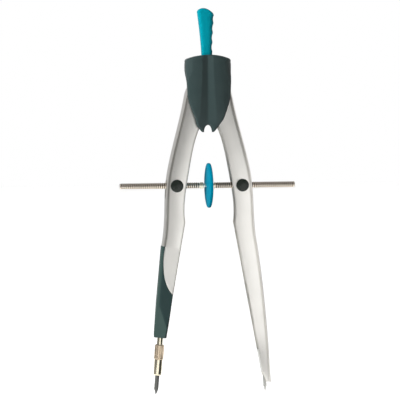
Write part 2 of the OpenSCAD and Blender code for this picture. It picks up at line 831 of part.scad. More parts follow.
// Lead arm
arm_lip = 1;
arm_wide_r = arm_end_r + far * tan(arm_end_flare);
arm_outline = [
    [arm_top_x, -arm_drop - run_clear],
    [arm_foot_x, -tip_drop + arm_foot],
    [arm_foot_x - arm_lip, -tip_drop + arm_foot - 2 * arm_lip],
    [leg_gap - arm_toe, -tip_drop + arm_foot - 2 * arm_lip],
    [leg_gap - arm_toe, -tip_drop + arm_foot],
    [leg_gap, -arm_drop - tongue_start - tongue_h],
    [leg_gap, -arm_drop - run_clear]
];
module lead_arm() {
    color(dark_green)
        swung_left()
            difference() {
                intersection() {
                    union() {
                        in_channel()
                            block(leg_gap, bow_x, arm_drop - arm_core, tip_drop - arm_foot, channel_d);
                        difference() {
                            slab(arm_depth) polygon(arm_outline);
                            slab(3 * far) tongue(run_clear);
                        }
                        slab(channel_d) polygon(arm_outline);
                    }
                    on_lead()
                        translate([0, 0, arm_foot])
                            cylinder(h = far, r1 = arm_end_r, r2 = arm_wide_r);
                }
                on_lead()
                    translate([0, 0, arm_foot - eps])
                        cylinder(h = shank_seat + seat_clear + eps, r = shank_r + seat_clear);
            }
}

// Lead holder
module lead_shank() {
    color(warm_steel)
        swung_left()
            on_lead()
                difference() {
                    translate([0, 0, collet_top])
                        cylinder(h = shank_top - collet_top, r = shank_r);
                    translate([0, 0, collet_top - eps])
                        cylinder(h = shank_bore_top - collet_top + eps, r = lead_r + run_clear);
                }
}
module lead_collet() {
    slit = 0.3;
    slit_share = 0.75;
    color(brass)
        swung_left()
            on_lead()
                difference() {
                    tube(collet_foot, collet_top, shank_r, lead_r + run_clear);
                    for (turn = [0, 90])
                        rotate(turn)
                            translate([-far, -slit / 2, collet_foot - eps])
                                cube([2 * far, slit, collet_len * slit_share]);
                }
}
module chuck_sleeve() {
    color(brass)
        swung_left()
            on_lead()
                rotate_extrude()
                    polygon([
                        [lead_r + 2 * run_clear, lead_out],
                        [sleeve_r - nose_chamfer, lead_out],
                        [sleeve_r, lead_out + 2 * nose_chamfer],
                        [sleeve_r, sleeve_top],
                        [spigot_r, sleeve_top],
                        [spigot_r, sleeve_top + spigot_len],
                        [sleeve_bore, sleeve_top + spigot_len],
                        [sleeve_bore, collet_foot - run_clear],
                        [lead_r + 2 * run_clear, collet_foot - run_clear]
                    ]);
}
module chuck_collar() {
    lip = 0.3;
    seat = sleeve_top + spigot_len + run_clear;
    color(brass)
        swung_left()
            on_lead()
                rotate_extrude()
                    polygon([
                        [spigot_r + run_clear, collar_foot],
                        [knurl_r - lip, collar_foot],
                        [knurl_r, collar_foot + lip],
                        [knurl_r, collar_top - lip],
                        [knurl_r - lip, collar_top],
                        [shank_r + run_clear, collar_top],
                        [shank_r + run_clear, seat],
                        [spigot_r + run_clear, seat]
                    ]);
}
module lead() {
    color(graphite)
        swung_left()
            on_lead() {
                cylinder(h = lead_cone, r1 = 0, r2 = lead_r);
                translate([0, 0, lead_cone])
                    cylinder(h = lead_len - lead_cone, r = lead_r);
            }
}

// Needle
module needle_holder() {
    color(brass)
        swung_right()
            difference() {
                in_channel()
                    block(leg_gap, bow_x, holder_drop, notch_drop, channel_d);
                on_needle()
                    cylinder(h = needle_top + seat_clear, r = needle_r + seat_clear);
            }
}
module needle() {
    color(steel)
        swung_right()
            on_needle() {
                cylinder(h = tip_len, r1 = 0, r2 = point_r);
                translate([0, 0, tip_len])
                    cylinder(h = point_len - tip_len + eps, r = point_r);
                translate([0, 0, point_len])
                    cylinder(h = needle_top - point_len, r = needle_r);
            }
}

head_front_cover();
head_rear_cover();
cover_screws();
handle();
pivot_pin(-1);  // left_pivot_pin
pivot_pin(1);  // right_pivot_pin
pivot_washers();
left_leg();
right_leg();
left_gear_sector();
right_gear_sector();
swung_left() gear_rivet();  // left_gear_rivet
swung_right() gear_rivet();  // right_gear_rivet
at_trunnion(-1) trunnion();  // left_trunnion
at_trunnion(1) trunnion();  // right_trunnion
at_trunnion(-1) trunnion_cap();  // left_trunnion_cap
at_trunnion(1) trunnion_cap();  // right_trunnion_cap
spindle();
thumb_wheel();
spindle_collars();
lead_arm();
lead_shank();
lead_collet();
chuck_sleeve();
chuck_collar();
lead();
needle_holder();
needle();
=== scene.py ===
"""Looks of a bow compass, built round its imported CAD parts. Every length is in metres."""

import math

import bmesh
import bpy
import numpy as np
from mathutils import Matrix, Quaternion, Vector


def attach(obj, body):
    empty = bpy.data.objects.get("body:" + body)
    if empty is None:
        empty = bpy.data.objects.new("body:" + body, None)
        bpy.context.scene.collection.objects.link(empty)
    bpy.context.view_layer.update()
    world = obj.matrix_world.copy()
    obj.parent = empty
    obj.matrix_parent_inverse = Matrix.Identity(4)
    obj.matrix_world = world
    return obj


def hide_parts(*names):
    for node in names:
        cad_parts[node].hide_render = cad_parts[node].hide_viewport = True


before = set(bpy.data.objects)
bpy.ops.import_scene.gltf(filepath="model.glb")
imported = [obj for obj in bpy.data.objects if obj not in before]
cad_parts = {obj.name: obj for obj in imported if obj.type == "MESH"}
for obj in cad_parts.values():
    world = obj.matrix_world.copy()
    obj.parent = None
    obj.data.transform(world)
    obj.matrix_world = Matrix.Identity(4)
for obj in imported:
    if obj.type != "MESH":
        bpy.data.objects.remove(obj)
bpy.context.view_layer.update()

MM = 0.001


def mm(*lengths):
    """Lengths that are written in millimetres."""
    return [length * MM for length in lengths]


def rotated(x, z, angle):
    """A place turned from X towards Z."""
    c, s = math.cos(angle), math.sin(angle)
    return x * c - z * s, x * s + z * c


# Stance
OPEN_ANGLE = math.radians(10.2)
TIP_DROP, TIP_X, PIVOT_X, PIVOT_R = mm(143.9, 0.3, 4.8, 1.5)
PIVOT_Z = TIP_DROP * math.cos(OPEN_ANGLE) + (PIVOT_X - TIP_X) * math.sin(OPEN_ANGLE)
RUN_CLEAR, SEAT_CLEAR = mm(0.05, 0.02)

# Legs: places are measured from the middle of the closed compass and down from the pivots
LEG_DEPTH, LEG_WALL, LEG_GAP = mm(6.0, 0.9, 0.4)
LEG_TOP_R = PIVOT_X - LEG_GAP
SHOULDER_X, SHOULDER_DROP = mm(10.3, 5.0)
BOW_X, BOW_DROP = mm(12.2, 41.5)
WAIST_X, WAIST_DROP = mm(9.15, 73.0)
FOOT_X, FOOT_DROP, FOOT_SLANT = mm(3.6, 138.9, 0.8)
HOLLOW_DEPTH, HOLLOW_TOP, HOLLOW_BOTTOM = mm(2.3, 15.5, 62.7)
HOLLOW_POWER, TAPER_POWER = 3.4, 1.5
CUT_DROP, CUT_W = mm(134.4, 0.9)
FOLD_R, SHEET_EDGE_R, FACE_FALL = mm(0.85, 0.32, 0.14)
CREASE_W, CREASE_DEPTH = mm(0.4, 0.07)
FOLD_SHARE, WALL_SHARE = 0.36, 0.24
# The last is the leg width at which the painted crease shade is at full strength.
RAIL_STEP, FULL_W, FOLD_ROOM, CREASE_SHADE_W = mm(0.9, 5, 0.25, 6)
RIVET_X, RIVET_DROP, RIVET_R = mm(5.2, 7.6, 0.8)

# Head
HEAD_HALF, HEAD_RISE, HEAD_DROP = mm(10.7, 15.4, 20.5)
SIDE_R, SIDE_R_FOOT, SIDE_R_TOP = mm(3.2, 3.2, 9.0)
DOME_R, CORNER_R = mm(27.0, 1.8)
POINT_X, ARCH_HALF, ARCH_H = mm(2.7, 1.85, 3.3)
CHIN_X, CHIN_H, REAR_LIFT = mm(4.8, 2.4, 2.8)
FLUTE_SET, TOE_SET, TOE_TOP, TOE_RUN = mm(0.8, 0.75, -14, 4)
FRONT_DRAW, REAR_DRAW, DRAW_TOP, DRAW_RUN, DRAW_X, DRAW_W = mm(0.3, 1.3, 9, 7, 6, 3)
SEAM_DRAW, SEAM_RUN, SEAM_X = mm(0.7, 5, 9)
CHEEK_WALL, CHEEK_RISE, REAR_CHEEK_RISE = mm(1.4, 3.4, 4.4)
PLATE_HALF, PLATE_TOP, PLATE_TURN = mm(10.45, 2.4, -3.5)
PLATE_BULGE = mm(9.9, -8.5)
COVER_IN, CREST_Y, FLUTE_Y, SIDE_Y = mm(3.45, 6.25, 5.15, 4.65)
FLUTE_TOP_HALF, FLUTE_LOW_HALF = mm(2.5, 4.4)
CAP_RISE, COVER_EDGE_R, CROWN_R, SEAM_GAP, CREST_SOFT = mm(7.733, 0.9, 1.5, 0.004, 0.15)
THIN_TOP, THIN_FACE = mm(0.3, 0.1)
TOE_START, TOE_SHARE = -8.0 * MM, 0.74
SCREW_X, SCREW_RISE, SCREW_HEAD_R, SCREW_SINK = mm(6.6, 10.4, 1.7, 1.5)

# Handle
HANDLE_FOOT, HANDLE_BARE, HANDLE_H = 13.9 * MM, HEAD_RISE, 22.2 * MM
NECK_W, NECK_D, TOP_W, TOP_D = mm(5.0, 4.6, 8.5, 5.6)
HANDLE_SET, HANDLE_LEAN, GROOVE_DEPTH = mm(0.35, 0.45, 0.36)
FLARE_POWER, RIDGE_POWER = 1.5, 1.6
RIDGES, RIDGE_START, GROOVES_END, RIM_SHARE = 5, 0.06, 0.84, 0.93
CROWN_RIGHT, CROWN_LEFT, CROWN_ROUND, CROWN_EDGE_R, CROWN_SINK = mm(2.0, 2.8, 0.5, 0.5, 0.5)
CROWN_PEAK, SQUARE_CORNER, ROUND_CORNER = -0.29, 0.42, 0.75

# Cross screw and thumb wheel
TRUNNION_X, TRUNNION_DROP = mm(7.2, 46.5)
TRUNNION_OUT, TRUNNION_UP = rotated(TRUNNION_X - PIVOT_X, -TRUNNION_DROP, OPEN_ANGLE)
TRUNNION_REST_X, SCREW_Z = PIVOT_X + TRUNNION_OUT, PIVOT_Z + TRUNNION_UP
SCREW_R, SCREW_LEFT, SCREW_RIGHT, NECK_R = mm(1.5, 41.85, 40.65, 0.95)
THREAD_START, THREAD_RIGHT, THREAD_PITCH, THREAD_DEPTH = mm(4.4, 2.95, 1.0, 0.25)
BARREL_R, BUTTON_R, BUTTON_T = mm(2.35, 2.95, 1.0)
BUTTON_EDGE_R, BUTTON_DOME, BUTTON_EASE, CAP_STEP = mm(0.3, 0.3, 0.12, 0.2)
BUTTON_Y = LEG_DEPTH / 2 + RUN_CLEAR
SLOT_HALF, SLOT_UP, SLOT_DOWN, SLOT_REACH = mm(1.55, 2.0, 6.8, 12)
WHEEL_R, WHEEL_HUB_T, WHEEL_RIM_T, RIB_R, RIB_OUT = mm(10.49, 2.4, 1.0, 0.42, 0.16)
RIB_COUNT = 44
COLLAR_R, COLLAR_IN, COLLAR_OUT, THIN_COLLAR = mm(1.5, 2.65, 4.2, 0.25)

# Lead arm and lead holder: heights run up the lead from its tip
LEAD_TILT, ARM_FLARE, BEVEL = map(math.radians, (5.15, 8, 25))
ARM_DROP, ARM_TOP_X, ARM_FOOT_X, ARM_TOE = mm(75.15, 9.4, 6.0, 0.6)
ARM_DEPTH, ARM_END_R, ARM_EASE, ARM_SLICE, CORE_TOP = mm(5.6, 3.05, 0.3, 1.2, 68.0)
ARM_CORNER, ARM_FOOT_SHARE = 24, 0.93
# The last is how far the bevel's painted highlight fades in.
BEVEL_TOP, BEVEL_X, BEVEL_W, BEVEL_END, BEVEL_HIGHLIGHT_FADE = mm(15.1, 2.0, 1.1, -2.4, 0.4)
BEVEL_RUN = 0.42
TONGUE_TOP, TONGUE_START, THIN_EDGE_R = mm(75.1, 77.0, 0.002)
TONGUE_MID_X, TONGUE_RX, TONGUE_RZ = mm(-3.0, 10.9, 20.8)
LEAD_R, LEAD_LEN, LEAD_CONE, BLUNT_R, BLUNT_H = mm(1.0, 24.0, 2.6, 0.12, 0.1)
NOSE, SLEEVE_TOP, COLLAR_TOP, ARM_FOOT = mm(9.0, 16.4, 23.35, 26.55)
SLEEVE_R, SLEEVE_BORE, NOSE_BORE, NOSE_WALL, NOSE_CHAMFER = mm(1.9, 1.52, 1.1, 0.7, 0.25)
SPIGOT_R, SPIGOT_LEN = mm(1.75, 2.4)
KNURL_R, KNURL_DEPTH, KNURL_PITCH = mm(2.2, 0.07, 400.0)
KNURL_STARTS = 12
SHANK_R, SHANK_FOOT, SHANK_TOP = mm(1.35, 14.95, 40.55)

# Needle: heights run up the needle from its tip
NEEDLE_TILT = math.radians(8.0)
NEEDLE_R, POINT_R, POINT_LEN, TIP_LEN, NEEDLE_TOP, STEP_H = mm(0.8, 0.42, 2.4, 1.4, 18.5, 0.15)

# The view of the photograph, whose frame is square
CAMERA_AZIMUTH, CAMERA_ELEVATION, CAMERA_ROLL = map(math.radians, (-8.36, 2.2, 0.524))
CAMERA_DISTANCE = 1.2
CAMERA_TARGET = Vector(mm(-4.21, 0, 90.33))
FRAME_WIDTH = 186.24 * MM

SMOOTH_ANGLE = math.radians(32)
MERGE = 1e-7


def srgb(red, green, blue):
    """A linear colour from 0 to 255 values as seen on a screen."""
    parts = (c / 255 for c in (red, green, blue))
    return tuple(c / 12.92 if c <= 0.04045 else ((c + 0.055) / 1.055) ** 2.4 for c in parts) + (1.0,)


def linked(name, data):
    """A new object of the scene."""
    obj = bpy.data.objects.new(name, data)
    bpy.context.scene.collection.objects.link(obj)
    return obj


# Node trees


class Graph:
    """Adds nodes to a tree, linking sockets or setting values in the same call."""

    def __init__(self, tree):
        self.tree = tree

    def add(self, kind, inputs=None, out=0, **settings):
        node = self.tree.nodes.new(kind)
        for key, value in settings.items():
            setattr(node, key, value)
        for key, value in (inputs or {}).items():
            self.put(node.inputs[key], value)
        return node.outputs[out]

    def put(self, socket, value):
        if isinstance(value, bpy.types.NodeSocket):
            self.tree.links.new(value, socket)
        else:
            socket.default_value = value

    def calc(self, operation, a, b=0.0, c=0.0):
        return self.add("ShaderNodeMath", {0: a, 1: b, 2: c}, operation=operation)

    def weigh(self, a, b, share):
        """The mean of two values, with a share for the first."""
        return self.calc("MULTIPLY_ADD", a, share, self.calc("MULTIPLY", b, 1 - share))

    def ramp(self, value, low, high, to_low=0.0, to_high=1.0, smooth=False):
        """Maps a value from one range to another, held at both ends."""
        return self.add(
            "ShaderNodeMapRange",
            {0: value, 1: low, 2: high, 3: to_low, 4: to_high},
            interpolation_type="SMOOTHSTEP" if smooth else "LINEAR",
        )

    def mix(self, factor, a, b):
        return self.add("ShaderNodeMix", {0: factor, 6: a, 7: b}, out=2, data_type="RGBA")

    def noise(self, place, scale, detail, roughness):
        inputs = {"Vector": place, "Scale": scale, "Detail": detail, "Roughness": roughness}
        return self.add("ShaderNodeTexNoise", inputs)


def new_tree(name, kind, inputs, outputs):
    """A node group's graph, with the sockets of its input and output nodes."""
    tree = bpy.data.node_groups.new(name, kind)
    for in_out, sockets in (("INPUT", inputs), ("OUTPUT", outputs)):
        for label, (socket_kind, default) in sockets.items():
            socket = tree.interface.new_socket(label, in_out=in_out, socket_type="NodeSocket" + socket_kind)
            if default is not None:
                socket.default_value = default
    return Graph(tree), tree.nodes.new("NodeGroupInput").outputs, tree.nodes.new("NodeGroupOutput").inputs


def new_geometry_tree(name, lengths, counts):
    inputs = {label: ("Float", 0.0) for label in lengths}
    inputs |= {label: ("Int", 8) for label in counts}
    inputs["Material"] = ("Material", None)
    return new_tree(name, "GeometryNodeTree", inputs, {"Geometry": ("Geometry", None)})


def end_geometry_tree(g, given, result, geometry):
    whole = g.add("GeometryNodeRealizeInstances", {"Geometry": geometry})
    coated = g.add("GeometryNodeSetMaterial", {"Geometry": whole, "Material": given["Material"]})
    g.put(result[0], coated)
    return g.tree


def helix_relief_tree():
    """A bar along X whose surface carries ridges that wind round it: a thread or a knurl."""
    lengths = ("Length", "Radius", "Depth", "Pitch", "Lip", "Edge", "Bore")
    g, given, result = new_geometry_tree("helix_relief", lengths, ("Starts", "Rows", "Columns"))
    size = {"Size X": 1.0, "Size Y": 1.0, "Vertices X": given["Rows"], "Vertices Y": given["Columns"]}
    grid = g.add("GeometryNodeMeshGrid", size)
    place = g.tree.nodes.new("ShaderNodeSeparateXYZ")
    g.put(place.inputs[0], g.add("GeometryNodeInputPosition"))
    turn = g.calc("ADD", place.outputs[1], 0.5)
    x = g.calc("MULTIPLY", g.calc("ADD", place.outputs[0], 0.5), given["Length"])
    wound = g.calc("MULTIPLY", turn, given["Starts"])
    phase = g.calc("SUBTRACT", g.calc("DIVIDE", x, given["Pitch"]), wound)
    off_crest = g.calc("ABSOLUTE", g.calc("MULTIPLY_ADD", g.calc("FRACT", phase), 2.0, -1.0))
    groove = g.ramp(off_crest, 0.22, 0.82, smooth=True)
    end = g.calc("MINIMUM", x, g.calc("SUBTRACT", given["Length"], x))
    full = g.calc("MINIMUM", g.calc("DIVIDE", end, given["Edge"]), 1.0)
    # How deep each point lies in a groove: it cuts the groove and is kept as painted shade in the grooves.
    mark = g.calc("MULTIPLY", groove, full)
    lip = g.calc("MULTIPLY", given["Lip"], g.calc("SUBTRACT", 1.0, full))
    cut = g.calc("MULTIPLY_ADD", given["Depth"], mark, lip)
    skin = g.calc("SUBTRACT", given["Radius"], cut)
    is_end = g.calc("LESS_THAN", end, MERGE)
    radius = g.calc("MULTIPLY_ADD", is_end, g.calc("SUBTRACT", given["Bore"], skin), skin)
    shading_marked = g.add("GeometryNodeStoreNamedAttribute", {"Geometry": grid, "Name": "mark", "Value": mark})
    angle = g.calc("MULTIPLY", turn, 2 * math.pi)
    y, z = (g.calc("MULTIPLY", radius, g.calc(wave, angle)) for wave in ("COSINE", "SINE"))
    bent = g.add("ShaderNodeCombineXYZ", {0: x, 1: y, 2: z})
    bar = g.add("GeometryNodeSetPosition", {"Geometry": shading_marked, "Position": bent})
    merged = g.add("GeometryNodeMergeByDistance", {"Geometry": bar, "Distance": MERGE})
    return end_geometry_tree(g, given, result, merged)


def rim_ribs_tree():
    """Round ribs side by side round a rim, along Z."""
    g, given, result = new_geometry_tree("rim_ribs", ("Ring radius", "Rib radius", "Length"), ("Count",))
    ring = g.add("GeometryNodeMeshCircle", {"Vertices": given["Count"], "Radius": given["Ring radius"]})
    rib = g.add("GeometryNodeMeshUVSphere", {"Segments": 10, "Rings": 8, "Radius": given["Rib radius"]})
    stretch = g.calc("DIVIDE", given["Length"], g.calc("MULTIPLY", given["Rib radius"], 2.0))
    scale = g.add("ShaderNodeCombineXYZ", {0: 1.0, 1: 1.0, 2: stretch})
    ribs = g.add("GeometryNodeInstanceOnPoints", {"Points": ring, "Instance": rib, "Scale": scale})
    return end_geometry_tree(g, given, result, ribs)


def grown(tree, **inputs):
    """The plain mesh that a geometry tree gives with these inputs."""
    holder = linked("growing", bpy.data.meshes.new("growing"))
    modifier = holder.modifiers.new("grow", "NODES")
    modifier.node_group = tree
    for socket in tree.interface.items_tree:
        if socket.in_out == "INPUT":
            modifier[socket.identifier] = inputs[socket.name.lower().replace(" ", "_")]
    mesh = settled_mesh(holder)
    bpy.data.objects.remove(holder)
    return mesh


# Meshes


def stacked(*parts):
    """Points from their x, y and z, any of which may be one value for all."""
    return np.stack(np.broadcast_arrays(*parts), -1)


def points_of(mesh):
    points = np.empty(len(mesh.vertices) * 3)
    mesh.vertices.foreach_get("co", points)
    return points.reshape(-1, 3)


def settled_mesh(obj):
    """The plain mesh of an object with its modifiers applied."""
    bpy.context.view_layer.update()
    return bpy.data.meshes.new_from_object(obj.evaluated_get(bpy.context.evaluated_depsgraph_get()))


def mesh_of(shell):
    """The mesh of an edited shell, which is then freed."""
    mesh = bpy.data.meshes.new("mesh")
    shell.to_mesh(mesh)
    shell.free()
    return mesh


def lofted(rings, capped=True):
    """Points and faces of a skin over rings of equal length."""
    rings = np.asarray(rings, float)
    count, size = rings.shape[:2]
    at = np.arange(count * size).reshape(count, size)
    after = np.roll(at, -1, axis=1)
    faces = np.stack([at[:-1], after[:-1], after[1:], at[1:]], -1).reshape(-1, 4).tolist()
    if capped:
        faces += [at[0][::-1].tolist(), at[-1].tolist()]
    return rings.reshape(-1, 3), faces


def closed_mesh(points, faces):
    """A closed mesh with its seams merged and its faces turned outwards."""
    shell = bmesh.new()
    corners = [shell.verts.new(p) for p in points]
    for face in faces:
        shell.faces.new([corners[i] for i in face])
    bmesh.ops.remove_doubles(shell, verts=shell.verts, dist=MERGE)
    bmesh.ops.recalc_face_normals(shell, faces=shell.faces)
    return mesh_of(shell)


def placed_mesh(mesh, place):
    """A mesh whose points are moved by a function of their places, with its faces outwards again."""
    mesh.vertices.foreach_set("co", place(points_of(mesh)).ravel())
    shell = bmesh.new()
    shell.from_mesh(mesh)
    bmesh.ops.recalc_face_normals(shell, faces=shell.faces)
    return mesh_of(shell)


def turned_mesh(profile, place, segments=96):
    """A piece turned about Z from (radius, height) points, closed or ending on the axis, then placed."""
    angles = np.linspace(0, 2 * math.pi, segments, endpoint=False)
    rings = [stacked(r * np.cos(angles), r * np.sin(angles), z) for r, z in profile]
    return placed_mesh(closed_mesh(*lofted(rings, capped=False)), place)


def joined_mesh(*meshes):
    whole = bmesh.new()
    for mesh in meshes:
        whole.from_mesh(mesh)
    return mesh_of(whole)


def carved_mesh(mesh, cutters):
    """A mesh with closed cutter meshes taken from it."""
    block = linked("carving", mesh)
    tools = [linked("cutter", cutter) for cutter in cutters]
    for tool in tools:
        cut = block.modifiers.new("cut", "BOOLEAN")
        cut.operation, cut.object, cut.solver = "DIFFERENCE", tool, "EXACT"
    result = settled_mesh(block)
    for obj in (block, *tools):
        bpy.data.objects.remove(obj)
    return result


def painted_shading_mesh(mesh, mark):
    """A mesh with a value at each point, which its finish reads as painted shade or a painted highlight."""
    mesh.attributes.new("mark", "FLOAT", "POINT").data.foreach_set("value", mark.astype(np.float32))
    return mesh


def finish_piece(name, mesh, material, body, slot, *nodes):
    """A piece that rides on a body and stands for its CAD nodes."""
    mesh.name = name
    mesh.materials.clear()
    mesh.materials.append(material)
    mesh.polygons.foreach_set("use_smooth", np.ones(len(mesh.polygons), bool))
    mesh.set_sharp_from_angle(angle=SMOOTH_ANGLE)
    obj = linked(name, mesh)
    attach(obj, body)
    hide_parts(*nodes)


# Frames of the compass


def swung(points, side):
    """Points of a closed leg, swung out on the right (1) or on the left (-1)."""
    x, y, z = points.T
    out, up = rotated(x - PIVOT_X, z, OPEN_ANGLE)
    return stacked(side * (PIVOT_X + out), y, PIVOT_Z + up)


def unswung(mesh, side):
    """The x, y and z that the points of a swung mesh have in the closed leg."""
    x, y, z = points_of(mesh).T
    out, up = rotated(side * x - PIVOT_X, z - PIVOT_Z, -OPEN_ANGLE)
    return PIVOT_X + out, y, up


def tilted(points, tilt):
    """Points about the lead or the needle, with Z up along it from the tip, in the closed leg."""
    x, y, z = points.T
    across, up = rotated(x, z, -tilt)
    return stacked(TIP_X + across, y, up - TIP_DROP)


def on_lead(points):
    return swung(tilted(points, LEAD_TILT), -1)


def on_needle(points):
    return swung(tilted(points, NEEDLE_TILT), 1)


def on_screw(points):
    """Points turned about Z, laid along the cross screw."""
    x, y, z = points.T
    return stacked(z, x, SCREW_Z + y)


def along_depth(x, z, facing=1):
    """Lays points turned about Z along the depth of the compass, facing the rear (1) or the front (-1)."""
    return lambda p: stacked(x + p[:, 0], facing * p[:, 2], z + p[:, 1])


def bar(radius, low, high, bore=0):
    """The profile of a round bar, or of a tube that is still open along its bore."""
    return [(bore, low), (radius, low), (radius, high), (bore, high)]


def leg_mesh(rings, side):
    """A closed mesh over rings of the closed leg, swung out."""
    points, faces = lofted(rings)
    return closed_mesh(swung(points, side), faces)


# Legs


def smooth(t):
    t = np.clip(t, 0, 1)
    return t * t * (3 - 2 * t)


def inner_x(drop):
    middle, half = (HOLLOW_TOP + HOLLOW_BOTTOM) / 2, (HOLLOW_BOTTOM - HOLLOW_TOP) / 2
    share = np.minimum(1, np.abs(drop - middle) / half)
    return LEG_GAP + HOLLOW_DEPTH * (1 - share**HOLLOW_POWER)


def outer_x(drop):
    upper = SHOULDER_X + (BOW_X - SHOULDER_X) * smooth((drop - SHOULDER_DROP) / (BOW_DROP - SHOULDER_DROP))
    middle = BOW_X + (WAIST_X - BOW_X) * smooth((drop - BOW_DROP) / (WAIST_DROP - BOW_DROP))
    share = np.clip((drop - WAIST_DROP) / (FOOT_DROP - WAIST_DROP), 0, 1)
    lower = WAIST_X + (FOOT_X - WAIST_X) * share**TAPER_POWER
    return np.where(drop < BOW_DROP, upper, np.where(drop < WAIST_DROP, middle, lower))


def along_path(path, count):
    """Evenly spaced points on a line of points."""
    run = np.concatenate([[0], np.cumsum(np.linalg.norm(np.diff(path, axis=0), axis=1))])
    at = np.linspace(0, run[-1], count)
    return stacked(*(np.interp(at, run, part) for part in path.T))


def leg_rails(last_drop):
    """Outer and inner edge of a closed leg, as matching (x, z) points from the top down."""
    count = 20
    turn = np.radians(np.linspace(84, 0, count))
    shoulder_x = PIVOT_X + (SHOULDER_X - PIVOT_X) * np.cos(turn)
    shoulder = stacked(shoulder_x, -SHOULDER_DROP + (LEG_TOP_R + SHOULDER_DROP) * np.sin(turn))
    turn = np.radians(np.linspace(96, 180, 40))
    crown = stacked(PIVOT_X + LEG_TOP_R * np.cos(turn), LEG_TOP_R * np.sin(turn))
    inside = along_path(np.vstack([crown, [[LEG_GAP, -SHOULDER_DROP]]]), count)
    drops = np.linspace(SHOULDER_DROP, last_drop, round((last_drop - SHOULDER_DROP) / RAIL_STEP))[1:]
    cusp = np.argmin(np.abs(drops - HOLLOW_BOTTOM))
    drops[cusp] = HOLLOW_BOTTOM
    outer = np.vstack([shoulder, stacked(outer_x(drops), -drops)])
    inner = np.vstack([inside, stacked(inner_x(drops), -drops)])
    return outer, inner


def quarter(n0, y0, n1, y1, steps=7, start_across=True):
    """A quarter ellipse from one point to another, leaving across or along."""
    t = np.linspace(0, math.pi / 2, steps)
    slow, fast = 1 - np.cos(t), np.sin(t)
    across, along = (fast, slow) if start_across else (slow, fast)
    return stacked(n0 + (n1 - n0) * across, y0 + (y1 - y0) * along)


def channel_section(width):
    """The folded sheet's section at a width, as a ring of (distance from the outer edge, depth)."""
    half = LEG_DEPTH / 2
    share = min(1.0, width / FULL_W)
    fold, wall = min(FOLD_R, FOLD_SHARE * width), min(LEG_WALL, WALL_SHARE * width)
    edge, fall, room = SHEET_EDGE_R * share, FACE_FALL * share, FOLD_ROOM * share
    crease, sink = CREASE_W * share, CREASE_DEPTH * share
    inner_fold = max(fold - wall, 0.1 * fold)
    across = np.linspace(-1, 1, 13)[1:-1]
    face = fold + crease + (width - edge - fold - crease) * (1 + across) / 2
    front = np.vstack(
        [
            [[0, 0], [0, -(half - fold) + room]],
            quarter(0, -(half - fold), fold, -half, 9, start_across=False),
            [[fold + t * crease, -half + sink + fall] for t in (0.3, 0.7)],
            [[fold + crease, -half + fall]],
            stacked(face, -half + fall * across**2),
            quarter(width - edge, -half + fall, width, -half + fall + edge, 6),
            quarter(width, -half + wall - edge, width - edge, -half + wall, 6, start_across=False),
            stacked(np.linspace(width - edge - room, wall + inner_fold + room, 4), -half + wall),
            quarter(wall + inner_fold, -half + wall, wall, -half + wall + inner_fold, 6),
            [[wall, 0]],
        ]
    )
    rear = front[-2:0:-1] * (1, -1)
    return np.vstack([front, rear])


def channel_rings(outer, inner):
    rings = []
    for p, q in zip(outer, inner):
        width = np.linalg.norm(q - p)
        section = channel_section(width)
        flat = p + np.outer(section[:, 0] / width, q - p)
        rings.append(stacked(flat[:, 0], section[:, 1], flat[:, 1]))
    return rings


def paint_crease_and_edge_shade(mesh, side, cut):
    """Paints shade as a darker colour into the crease beside the fold and, by a share, along the sheet's
    cut edge.
    """
    x, y, z = unswung(mesh, side)
    drop = -z
    outer, inner = outer_x(drop), inner_x(drop)
    if side > 0:
        inner = inner + CUT_W * np.clip((drop - CUT_DROP) / (FOOT_DROP - CUT_DROP), 0, 1)
    width = np.maximum(outer - inner, MM)
    off = np.abs(outer - x - np.minimum(FOLD_R, FOLD_SHARE * width) - CREASE_W / 2)
    mark = np.clip(1.4 - off / CREASE_W, 0, 1) * np.clip(width / CREASE_SHADE_W, 0.3, 1)
    mark = mark * (np.abs(y) > LEG_DEPTH / 2 - 2 * (FACE_FALL + CREASE_DEPTH))
    mark = mark * ((side > 0) | (drop < TONGUE_TOP))
    # Painted shade along the sheet's cut edge, by the share given.
    mark = np.maximum(mark, cut * np.clip(1.9 - (x - inner) / SHEET_EDGE_R, 0, 1))
    return painted_shading_mesh(mesh, mark * (drop > SHOULDER_DROP))


def leg_cutters(side):
    """The screw's slot in the outer wall, and the holes across the leg."""
    turn = np.linspace(0, math.pi, 24)
    arc = stacked(SLOT_HALF * np.cos(turn), SLOT_HALF * np.sin(turn))
    y, z = np.vstack([arc + (0, SLOT_UP - SLOT_HALF), -arc + (0, SLOT_HALF - SLOT_DOWN)]).T
    slot = [stacked(x, y, z - TRUNNION_DROP) for x in (TRUNNION_X, TRUNNION_X + SLOT_REACH)]
    cutters = [leg_mesh(slot, side)]
    for x, z, r in (
        (PIVOT_X, 0, PIVOT_R + RUN_CLEAR),
        (RIVET_X, -RIVET_DROP, RIVET_R + SEAT_CLEAR),
        (TRUNNION_X, -TRUNNION_DROP, BARREL_R + RUN_CLEAR),
    ):
        laid = along_depth(x, z)
        cutters.append(turned_mesh(bar(r, -LEG_DEPTH, LEG_DEPTH), lambda p: swung(laid(p), side), 64))
    return cutters


def right_leg_mesh():
    """The needle's leg, whose foot is cut on a slant to bare the needle."""
    outer, inner = leg_rails(CUT_DROP)
    share = np.linspace(0, 1, 8)[1:]
    drops = CUT_DROP + (FOOT_DROP - CUT_DROP) * share
    outer = np.vstack([outer, stacked(outer_x(drops), -drops - FOOT_SLANT * share**3)])
    inner = np.vstack([inner, stacked(LEG_GAP + CUT_W * share, -drops)])
    return paint_crease_and_edge_shade(carved_mesh(leg_mesh(channel_rings(outer, inner), 1), leg_cutters(1)), 1, 0.5)


